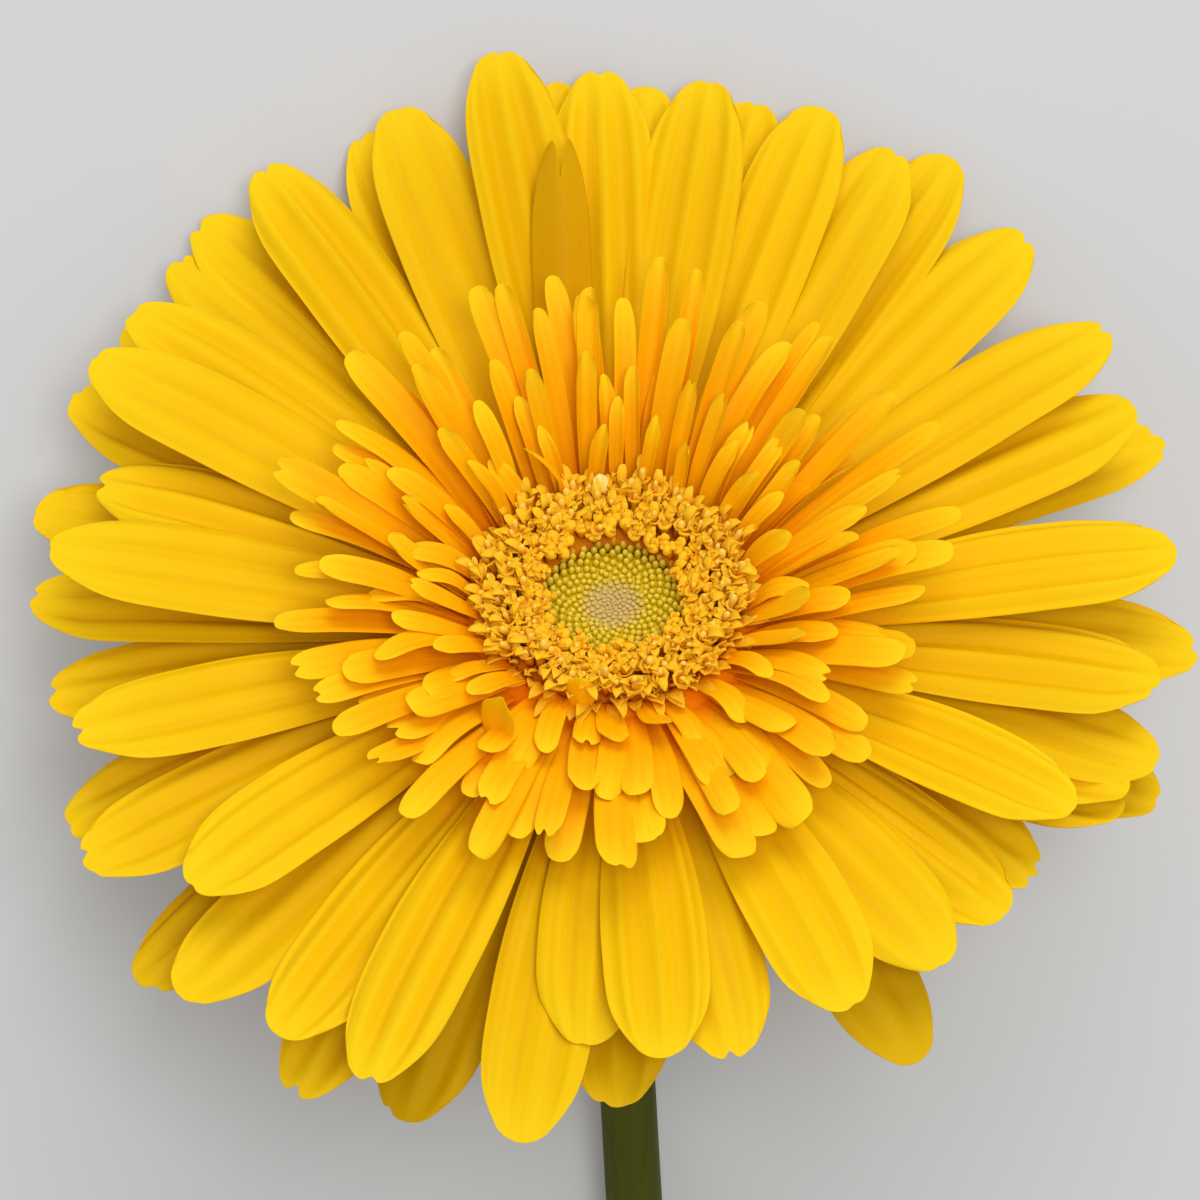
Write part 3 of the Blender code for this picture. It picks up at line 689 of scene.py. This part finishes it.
def short_ray_surfaces():
    """Blades that widen as 0.58 + 0.42 sin^1.2 up to seven tenths of their length and end in an
    arc, some notched in the middle. A crease runs on each side of the middle. On the low side the
    blades are channelled, with the rims raised as u^2, and on the high side they are domed. Most
    tips curl back. Lowness is 1 at the lowest side of the bloom and -1 at the highest."""
    draw = np.random.default_rng(29)
    t, u, top = blade_grid(28, 11)
    groups = []
    for row, (count, root_radius, root_height, length, lift, swing, width) in enumerate(SHORT_ROWS):

        def vary(low, high):
            return column(draw.uniform(low, high, count))

        azimuth = column(2 * np.pi * (np.arange(count) + 0.37 * row) / count) + vary(*SHORT_STRAY)
        lowness = np.sin(azimuth)
        reach = length * vary(*SHORT_REACH) * (1 + SHORT_LOW_STRETCH * lowness)
        spread = 0.58 + 0.42 * np.sin(np.pi / 2 * np.minimum(1.0, t / 0.7)) ** 1.2
        narrowing = 1 - SHORT_NARROWING * lowness * (1 + 0.35 * lowness)
        narrowing = narrowing * np.sqrt(1 - 0.5 * share_of(t, 0.80, 1.0) ** 3)
        half_width = width / 2 * spread * narrowing * vary(*SHORT_BREADTH)
        arc = 1 - np.sqrt(1 - 0.96 * u**2)
        split = (vary(0.0, 1.0) > 1 - SHORT_SPLIT_SHARE) * vary(*SHORT_SPLIT) * MM
        split = split * bell(u - vary(*SHORT_SPLIT_PLACE), 0.25)
        fraction = t - SHORT_TIP_ROUNDING / reach * arc * t**4 - split / reach * t**14
        channel = (0.05 + 0.35 * lowness + vary(*SHORT_CHANNEL)) * u**2 * share_of(t, 0.0, 0.4)
        hood = 0.15 * share_of(t, 0.80, 1.0) ** 2 * u**2
        crease = vary(*SHORT_CREASE) * bell(np.abs(u) - 0.35, 0.20) * share_of(t, 1.0, 0.8)
        curl = vary(*SHORT_CURL) * share_of(t, 0.5, 1.0) ** 2
        surface = (channel + hood - crease + curl) * MM
        thickness = SHORT_THICKNESS + SHORT_ROOT_THICKENING * share_of(t, 0.3, 0.0)
        thickness = thickness * (1 - 0.85 * u**4) * (1 - 0.85 * t**6)
        points = carried(
            azimuth,
            (root_radius, root_height),
            reach,
            lift + swing * lowness + np.radians(vary(*SHORT_LIFT)),
            SHORT_ARCH,
            fraction,
            half_width * u,
            surface - thickness * (1 - top),
            np.radians(vary(*SHORT_ROLL)),
            vary(*SHORT_SWAY) * MM,
        )
        groups.append({"points": placed(points), "place": (u, t, top), "tint": vary(0.0, 1.0)})
    return groups


SHORT_RAY_SKIN = ray_skin(
    "short_ray_skin",
    root=(0.99, 0.23, 0.0005),
    body=(0.98, 0.465, 0.001),
    tip=(0.96, 0.63, 0.008),
    back=(0.98, 0.53, 0.003),
    streak_and_shade=(0.97, 0.37, 0.0005),
    vein_count=11.0,
    groove=0.35,
)
short_ring = {"points": placed(turned(SHORT_RING)), "place": (0.0, 0.0, 1.0), "ring": True}
grown("short_rays", [*short_ray_surfaces(), short_ring], SHORT_RAY_SKIN, "inner_rays")


# The open florets crowd the disc in a raised ring. Each is a tiny golden trumpet with lobed,
# curled lips round a column of pollen, and stands on a collar between rays and buds.
FLORET_COUNT = 215
FLORET_INNER = 6.9 * MM
FLORET_OUTER = 11.5 * MM
FLORET_GROUND = 0.3 * MM
# At the inner edge of the ring, how much more at the outer edge, and what differs from floret to
# floret, as its least and its most. Height and girth are in millimetres, lean is in radians.
FLORET_HEIGHT = (1.5, 1.3, -0.4, 0.5)
FLORET_LEAN = (-0.30, 0.75, -0.32, 0.32)
FLORET_GIRTH = (1.05, 0.15)
FLORET_BREADTH = (0.85, 1.2)
FLORET_STRAY = (-0.22, 0.22)
# Where on the ring florets start to open and all are open, and how much sooner or later.
FLORET_OPENING = (0.15, 0.5)
FLORET_EARLY = (-0.25, 0.25)
GOLDEN_ANGLE = math.pi * (3 - math.sqrt(5))
# From foot to top, in shares of a floret's girth and height: radius and height of a closed
# floret, then of an open one with its throat.
FLORET_PROFILE = (
    (0.30, 0.00, 0.34, 0.00), (0.34, 0.55, 0.36, 0.55), (0.52, 0.78, 0.50, 0.82),
    (0.58, 0.92, 0.78, 1.00), (0.46, 1.05, 0.60, 1.02), (0.24, 1.12, 0.34, 0.86),
    (0.06, 1.14, 0.10, 0.74),
)
FLORET_COLUMNS = 8
THROAT_SHADE = (0, 0, 0, 0, 0.1, 0.7, 1.0)
LIPS = (
    # whether it points outwards, how far it strays from there, reach and width in millimetres
    (1, 0.5, 2.1, 0.95),
    (0, 6.3, 1.5, 0.6),
    (0, 6.3, 1.3, 0.5),
)
LIP_REACH = (0.6, 1.2)
LIP_LIFT = (5, 60)
LIP_ARCH = (60, 150)
LIP_ROLL = (-25, 25)
LIP_SWAY = (-0.3, 0.3)
STRAPS = (
    # count, root radius, height and reach in millimetres, lift in degrees
    (46, 11.2, 0.3, 2.2, 68),
    (54, 11.9, 0.2, 2.4, 56),
    (62, 12.0, -0.1, 3.0, 34),
)
STRAP_WIDTH = 1.2 * MM
STRAP_STRAY = (-0.07, 0.07)
STRAP_REACH = (0.5, 1.2)
STRAP_LOW_SHORTENING = 0.30
STRAP_LOW_LIFT = 16
STRAP_LIFT = (-20, 20)
STRAP_ARCH = (10, 80)
STRAP_BREADTH = (0.8, 1.3)
STRAP_ROLL = (-40, 40)
STRAP_SWAY = (-0.5, 0.5)
POLLEN_SIDES = 6
POLLEN_RADIUS = 0.30 * MM
POLLEN_BREADTH = (0.8, 1.3)
POLLEN_REACH = (0.86, 1.08)
POLLEN_LEAN = (-0.15, 0.15)
# The least that a floret is open where its pollen shows.
POLLEN_SHOWS = 0.3
# From foot to top of a pollen column: shares of its radius and of its floret's height.
POLLEN_PROFILE = ((0.7, 0.6), (0.75, 1.0), (1.0, 1.15), (0.95, 1.32), (0.45, 1.42))
COLLAR = (
    (6.8, -6.7), (9.4, -6.7), (9.4, -0.3), (12.1, -0.3), (12.1, 0.1), (11.3, 0.5), (6.8, 0.5),
)


def spiral(count, inner, outer, power=0.5):
    """Radius and azimuth of places on a golden-angle spiral. The radius squared grows from inner
    squared to outer squared, as the share of the places passed to twice the power."""
    share = ((np.arange(count) + 0.5) / count) ** (2 * power)
    radius = np.sqrt(inner**2 + share * (outer**2 - inner**2))
    return column(radius), column(np.arange(count) * GOLDEN_ANGLE)


def planted(out, aside, up, radius, azimuth, height, lean):
    """Points of small upright parts, leaned outwards and set on the disc at a radius, an azimuth
    and a height."""
    reach = radius + out * np.cos(lean) + up * np.sin(lean)
    rise = height - out * np.sin(lean) + up * np.cos(lean)
    x = reach * np.cos(azimuth) - aside * np.sin(azimuth)
    y = reach * np.sin(azimuth) + aside * np.cos(azimuth)
    return placed(np.stack([x, y, rise + 0 * x], axis=-1))


def floret_surfaces():
    """Clubs and trumpets turned from a profile that opens from the inner rows to the outer ones.
    Lips are small blades that start at each mouth, the first outwards and the others anywhere,
    and curl over by a large arch. Three rings of straps fringe the collar. Columns are slim
    bullets that stand in the open throats. Returns the groups of both skins."""
    draw = np.random.default_rng(5)
    radius, azimuth = spiral(FLORET_COUNT, FLORET_INNER, FLORET_OUTER)
    share = (radius - FLORET_INNER) / (FLORET_OUTER - FLORET_INNER)

    def vary(low, high, count=FLORET_COUNT):
        return column(draw.uniform(low, high, count))

    def graded(inner, more, least, most):
        return inner + more * share + vary(least, most)

    radius = radius + vary(*FLORET_STRAY) * MM
    open_share = share_of(share + vary(*FLORET_EARLY), *FLORET_OPENING)
    height = graded(*FLORET_HEIGHT) * MM
    lean = graded(*FLORET_LEAN)
    girth = (FLORET_GIRTH[0] + FLORET_GIRTH[1] * share) * vary(*FLORET_BREADTH) * MM
    profile = np.array(FLORET_PROFILE)[None, ..., None]
    closed_radius, closed_height, wide_radius, wide_height = np.moveaxis(profile, 2, 0)
    ring = girth * (closed_radius + open_share * (wide_radius - closed_radius))
    rise = closed_height + open_share * (wide_height - closed_height)
    turn = np.arange(FLORET_COLUMNS) * 2 * np.pi / FLORET_COLUMNS
    uneven = 1 + 0.14 * np.cos(2 * turn + vary(*ANY_PHASE)) * closed_height
    tint = vary(0.0, 1.0)
    throat = np.array(THROAT_SHADE)[None, :, None] * open_share
    bodies = planted(
        ring * uneven * np.cos(turn),
        ring * uneven * np.sin(turn),
        height * rise,
        radius,
        azimuth,
        FLORET_GROUND,
        lean,
    )
    groups = [{"points": bodies, "place": (throat, rise, 1.0), "tint": tint}]
    mouth_radius = radius + height * np.sin(lean)
    mouth_height = FLORET_GROUND + height * np.cos(lean)
    mouth = np.concatenate(
        [mouth_radius * np.cos(azimuth), mouth_radius * np.sin(azimuth), mouth_height], axis=-1
    )[:, None]
    t, u, top = blade_grid(7, 3)
    for outwards, stray, reach, width in LIPS:
        points = carried(
            azimuth * outwards + vary(-stray, stray),
            (girth * 0.35, 0.0),
            reach * MM * vary(*LIP_REACH) * (0.45 + 0.55 * open_share),
            np.radians(vary(*LIP_LIFT)),
            np.radians(vary(*LIP_ARCH)),
            t - 0.12 * u**2 * t**4,
            width / 2 * MM * (0.75 + 0.25 * np.sin(3 * t)) * (1 - 0.45 * t**4) * u,
            (0.22 * u**2 - 0.20 * (1 - top)) * MM,
            np.radians(vary(*LIP_ROLL)),
            vary(*LIP_SWAY) * MM,
        )
        place = (0.0, 0.7 + 0.5 * t, 1.0)
        groups.append({"points": placed(points + mouth), "place": place, "tint": tint})
    for count, root, ground, reach, lift in STRAPS:
        around = column(2 * np.pi * (np.arange(count) + 0.3) / count) + vary(*STRAP_STRAY, count)
        points = carried(
            around,
            (root * MM, ground * MM),
            reach * MM * vary(*STRAP_REACH, count) * (1 - STRAP_LOW_SHORTENING * np.sin(around)),
            np.radians(lift + STRAP_LOW_LIFT * np.sin(around) + vary(*STRAP_LIFT, count)),
            np.radians(vary(*STRAP_ARCH, count)),
            t - 0.10 * u**2 * t**4,
            STRAP_WIDTH / 2 * (0.7 + 0.3 * np.sin(3 * t)) * (1 - 0.5 * t**4)
            * u * vary(*STRAP_BREADTH, count),
            (0.25 * u**2 - 0.22 * (1 - top)) * MM,
            np.radians(vary(*STRAP_ROLL, count)),
            vary(*STRAP_SWAY, count) * MM,
        )
        place = (0.0, 0.3 + t, 1.0)
        groups.append({"points": placed(points), "place": place, "tint": vary(0, 1, count)})
    # The collar takes the dark foot colour and much of the throat's painted shade, so the gaps
    # between florets and buds show painted shade.
    groups.append({"points": placed(turned(COLLAR, 48)), "place": (0.7, 0.0, 1.0), "ring": True})

    turn = np.arange(POLLEN_SIDES) * 2 * np.pi / POLLEN_SIDES
    steps = np.array(POLLEN_PROFILE)[None]
    width = POLLEN_RADIUS * steps[..., 0, None] * vary(*POLLEN_BREADTH) * open_share
    points = planted(
        width * np.cos(turn),
        width * np.sin(turn),
        height * steps[..., 1, None] * vary(*POLLEN_REACH),
        radius,
        azimuth,
        FLORET_GROUND,
        lean + vary(*POLLEN_LEAN),
    )
    standing = open_share[:, 0, 0] > POLLEN_SHOWS
    along = steps[..., 1, None] / POLLEN_PROFILE[-1][1]
    columns = {"points": points[standing], "place": (0.0, along, 0.0), "tint": tint[standing]}
    return groups, [columns]


def floret_skin(name, foot, body, lip, hollow):
    """Golden floret tissue: brown-orange low down, partly as painted shade in the gaps between
    florets, with painted shade in the throat, and bright at the lips.
    """
    skin = Skin(name, Specular_IOR_Level=0.05)
    cells = skin.noise(skin.point, 2400.0, 2.0)
    way = (skin.along + (cells - 0.5) * 0.4 + (skin.tint - 0.5) * 0.2).held()
    colour = way.along_stops((0.0, foot), (0.55, body), (1.0, lip))
    # For open florets the across number puts painted shade in the throat.
    colour = (skin.across.held() * 0.9).towards(colour, (*hollow, 1.0))
    return skin.wear(colour, 0.42 + cells * 0.2, cells, 0.08 * MM)


# The foot colour is partly painted shade in the gaps between florets, and the hollow colour is
# painted throat shade.
FLORET_SKIN = floret_skin(
    "floret_skin",
    foot=(0.78, 0.23, 0.001),
    body=(0.98, 0.44, 0.002),
    lip=(0.99, 0.55, 0.018),
    hollow=(0.50, 0.14, 0.001),
)
POLLEN_SKIN = floret_skin(
    "pollen_skin",
    foot=(0.85, 0.36, 0.002),
    body=(0.95, 0.50, 0.012),
    lip=(0.98, 0.64, 0.09),
    hollow=(0.4, 0.1, 0.01),
)
bodies, columns = floret_surfaces()
grown("open_florets", bodies, FLORET_SKIN, "disc_florets")
grown("pollen_columns", columns, POLLEN_SKIN, None)


# The buds fill the hollow middle of the disc: waxy green beads with pale tips, smaller and
# greyer towards the centre. They grew on a cushion, in the same spiral as the florets.
BUD_COUNT = 350
BUD_SPREAD = 7.2 * MM
BUD_POWER = 0.72
BUD_SIDES = 6
# The area of a hexagon, as a share of its width squared.
HEXAGON_AREA = 0.87
BUD_GIRTH = 0.44
BUD_LEAST_HEIGHT = 0.03
BUD_GROWTH = 0.82
BUD_GROWING = (0.24, 0.85)
BUD_HEIGHTS = (0.8, 1.2)
BUD_STRAY = (-0.18, 0.18)
BUD_LEAN = -0.10
# Height of the ground in millimetres, in the middle, and how much higher it is at the rim.
BUD_GROUND = (-0.75, 0.45)
# From foot to top of a bead: shares of its radius and of its height.
BUD_PROFILE = ((0.85, -0.4), (1.0, 0.15), (0.92, 0.55), (0.62, 0.86), (0.20, 1.0))
CUSHION = (
    (0.3, -6.7), (6.5, -6.7), (6.5, -0.9), (5.9, -0.5), (4.2, -0.65), (2.2, -0.9), (0.3, -1.0),
)
BUD_FOOT_GREEN = (0.66, 0.44, 0.001)
BUD_SIDE_GREEN = (0.69, 0.52, 0.004)
BUD_TIP_CREAM = (0.79, 0.62, 0.08)
BUD_GREYS = ((0.58, 0.41, 0.12, 1), (0.66, 0.46, 0.14, 1))
BUD_RIM_GOLD = (0.72, 0.40, 0.01, 1)


def bud_surfaces():
    """Beads turned from a rounded profile, on ground that rises from the middle as the square of
    the radius. The room of each is the width of a hexagon with the area that it has to itself:
    2 pi power radius^2 / number. The beads grow taller from the core to the rim. The cushion is a
    profile turned under them."""
    draw = np.random.default_rng(31)
    radius, azimuth = spiral(BUD_COUNT, 0.0, BUD_SPREAD, BUD_POWER)
    azimuth = azimuth + column(draw.uniform(*BUD_STRAY, BUD_COUNT)) * MM / (radius + 0.5 * MM)
    share = radius / BUD_SPREAD
    number = column(np.arange(BUD_COUNT) + 0.5)
    room = np.sqrt(2 * np.pi * BUD_POWER * radius**2 / number / HEXAGON_AREA)
    height = (BUD_LEAST_HEIGHT + BUD_GROWTH * share_of(share, *BUD_GROWING)) * MM
    height = height * column(draw.uniform(*BUD_HEIGHTS, BUD_COUNT))
    ground = (BUD_GROUND[0] + BUD_GROUND[1] * share**2) * MM
    steps = np.array(BUD_PROFILE)[None]
    turn = np.arange(BUD_SIDES) * 2 * np.pi / BUD_SIDES
    ring = BUD_GIRTH * room * steps[..., 0, None]
    beads = planted(
        ring * np.cos(turn),
        ring * np.sin(turn),
        height * steps[..., 1, None],
        radius,
        azimuth,
        ground,
        BUD_LEAN * share,
    )
    along = np.clip(steps[..., 1, None], 0, 1)
    reach = np.array(CUSHION)[None, :, :1] * MM / BUD_SPREAD
    cushion = {"points": placed(turned(CUSHION, 48)), "place": (reach, 0.0, 0.0)}
    tint = column(draw.random(BUD_COUNT))
    return [{"points": beads, "place": (share, along, 0.0), "tint": tint}, cushion]


def bud_skin():
    """Yellow-green wax with a pale cream tip on each bead, pinkish grey at the core and golden at
    the rim."""
    skin = Skin("bud_skin", Specular_IOR_Level=0.12)
    grain = skin.noise(skin.point, 1500.0, 2.0)
    way = (skin.along + (grain - 0.5) * 0.25).held()
    green = way.along_stops((0.0, BUD_FOOT_GREEN), (0.55, BUD_SIDE_GREEN), (1.0, BUD_TIP_CREAM))
    core = ((0.46 - skin.across) * 5.0).held()
    colour = core.towards(green, grain.towards(*BUD_GREYS))
    gold = ((skin.across - 0.93) * 14.0).held()
    colour = gold.towards(colour, BUD_RIM_GOLD)
    return skin.wear(colour, 0.38 + grain * 0.2, grain, 0.04 * MM)


grown("bud_cushion", bud_surfaces(), bud_skin(), "disc_buds")


# A few odd bits of petal tissue stand out of the pattern. On the low side they are a folded ray
# with two lobes, a thin curl and a pale, dry scrap caught on the florets, and on the high side
# two small rays that grew upright. All but the scrap are rooted among their neighbours.
ODD_THICKNESS = 0.35
# Azimuth, root radius and height, length, lift, arch, width, fold, split, roll and sway of each,
# in millimetres and degrees.
FOLDED_RAY = (100.5, 14.0, -2.9, 35.6, 34, 4, 5.8, -1.9, 3.2, -3, -2.9)
UPRIGHT_RAYS = (
    (236.5, 19.2, -1.5, 7.6, 92, 8, 3.8, -0.4, 0.0, -6, 0.4),
    (256.5, 13.4, -1.4, 5.9, 94, 10, 2.8, 0.4, 0.0, 4, 0.0),
)
SCRAP = (96.4, 10.3, 3.4, 1.8, 38, 20, 1.4, 0.3, 0.0, 10, 0.0)
CURL = (114.0, 11.3, 3.0, 5.8, 52, 50, 0.50, 0.1, 0.0, 20, 2.7)


def odd_ray_surfaces(*rays):
    """Blades whose half width is 0.45 + 0.55 sin^1.2 up to six tenths of the length, then draws
    in to the tip. They are folded along the middle, so that their rims stand above or below it as
    |u|, and one has a split between two lobes."""
    values = [column(each) for each in zip(*rays)]
    azimuth, radius, height, length, lift, arch, width, fold, split, roll, sway = values
    t, u, top = blade_grid(30, 13)
    spread = 0.45 + 0.55 * np.sin(np.pi / 2 * np.minimum(1.0, t / 0.6)) ** 1.2
    narrowing = np.sqrt(1 - 0.75 * share_of(t, 0.7, 1.0) ** 2)
    arc = np.abs(np.abs(u) - 0.5 * (split > 0)) ** 2
    fraction = t - 0.11 * arc * t**4 - split / length * bell(u, 0.20) * t**16
    thickness = ODD_THICKNESS * (1 - 0.85 * u**4) * (1 - 0.85 * t**6)
    rise = (fold * np.abs(u) - thickness * (1 - top)) * MM
    points = carried(
        np.radians(azimuth),
        (radius * MM, height * MM),
        length * MM,
        np.radians(lift),
        np.radians(arch),
        fraction,
        width / 2 * MM * spread * narrowing * u,
        rise,
        np.radians(roll),
        sway * MM,
    )
    return [{"points": placed(points), "place": (u, t, top)}]


# A darker copy of the ray skin: its colours are painted shade on the folded ray.
SHADED_FOLDED_RAY_SKIN = ray_skin(
    "shaded_folded_ray_skin",
    root=(0.76, 0.30, 0.0005),
    body=(0.68, 0.335, 0.0005),
    tip=(0.70, 0.37, 0.0005),
    back=(0.78, 0.42, 0.001),
    streak_and_shade=(0.56, 0.27, 0.0005),
    vein_count=11.0,
    groove=0.0,
)
SCRAP_SKIN = floret_skin(
    "scrap_skin",
    foot=(0.95, 0.58, 0.08),
    body=(0.96, 0.70, 0.18),
    lip=(0.96, 0.76, 0.28),
    hollow=(0.90, 0.58, 0.12),
)
grown("folded_ray", odd_ray_surfaces(FOLDED_RAY), SHADED_FOLDED_RAY_SKIN, None)
grown("upright_rays", odd_ray_surfaces(*UPRIGHT_RAYS), SHORT_RAY_SKIN, None)
grown("thin_curl", odd_ray_surfaces(CURL), SHORT_RAY_SKIN, None)
grown("dry_scrap", odd_ray_surfaces(SCRAP), SCRAP_SKIN, None)


# The studio is a plain floor of pale paper under two square soft lights and an even sky. The
# camera looks down on the bloom from the photograph's angle, through a long lens.
# The photograph's side and the middle of its disc are in pixels.
PHOTO_SIDE = 1200
DISC_PIXEL_ACROSS = 613
PIXELS_PER_METRE = 10640
CAMERA_DISTANCE = 0.55
CAMERA_ELEVATION = math.radians(78)
SENSOR = 36.0
FLOOR_SIDE = 6.0
LAMP_DISTANCE = 2.5
LAMPS = (
    # name, direction from the bloom, side in metres, power in watts
    ("key", (0.12, 0.86, 0.50), 1.7, 28.0),
    ("fill", (0.15, 0.25, 0.95), 0.9, 23.0),
)
SKY_COLOUR = (0.985, 0.99, 1.0, 1.0)
SKY_STRENGTH = 0.45
PAPER_GREYS = ((0.665, 0.67, 0.675, 1), (0.68, 0.685, 0.69, 1))


def floor():
    """A flat sheet of pale grey paper, faintly clouded."""
    skin = Skin("floor_paper", Specular_IOR_Level=0.2)
    grain = skin.noise(skin.point, 6.0, 1.0)
    material = skin.wear(grain.towards(*PAPER_GREYS), 0.8 + grain * 0.1)
    half = FLOOR_SIDE / 2
    mesh = bpy.data.meshes.new("floor")
    corners = [(-half, -half, 0), (half, -half, 0), (half, half, 0), (-half, half, 0)]
    mesh.from_pydata(corners, [], [(0, 1, 2, 3)])
    mesh.materials.append(material)
    sheet = bpy.data.objects.new("floor", mesh)
    bpy.context.scene.collection.objects.link(sheet)


def lights():
    """Two square soft lights aimed at the bloom, a key from beyond it and a weaker fill from
    near the camera, and a uniform sky."""
    for name, direction, side, power in LAMPS:
        light = bpy.data.lights.new(name, "AREA")
        light.size = side
        light.energy = power
        lamp = bpy.data.objects.new(name, light)
        bpy.context.scene.collection.objects.link(lamp)
        direction = Vector(direction).normalized()
        lamp.location = Vector(CENTRE) + direction * LAMP_DISTANCE
        lamp.rotation_euler = direction.to_track_quat("Z", "Y").to_euler()
    world = bpy.data.worlds.new("sky")
    world.use_nodes = True
    background = world.node_tree.nodes["Background"]
    background.inputs["Color"].default_value = SKY_COLOUR
    background.inputs["Strength"].default_value = SKY_STRENGTH
    bpy.context.scene.world = world


def camera():
    """A long lens straight above and a little beyond the bloom, with the low side of the bloom
    at the top of the picture."""
    towards = Vector((0, math.cos(CAMERA_ELEVATION), math.sin(CAMERA_ELEVATION)))
    up = Vector((0, math.sin(CAMERA_ELEVATION), -math.cos(CAMERA_ELEVATION)))
    lens = bpy.data.cameras.new("camera")
    lens.sensor_width = SENSOR
    lens.lens = SENSOR * CAMERA_DISTANCE * PIXELS_PER_METRE / PHOTO_SIDE
    lens.shift_x = (PHOTO_SIDE / 2 - DISC_PIXEL_ACROSS) / PHOTO_SIDE
    eye = bpy.data.objects.new("camera", lens)
    bpy.context.scene.collection.objects.link(eye)
    turn = Matrix((Vector((1, 0, 0)), up, towards)).transposed().to_4x4()
    eye.matrix_world = Matrix.Translation(Vector(CENTRE) + towards * CAMERA_DISTANCE) @ turn
    bpy.context.scene.camera = eye


floor()
lights()
camera()
bpy.context.scene.view_settings.view_transform = "Standard"
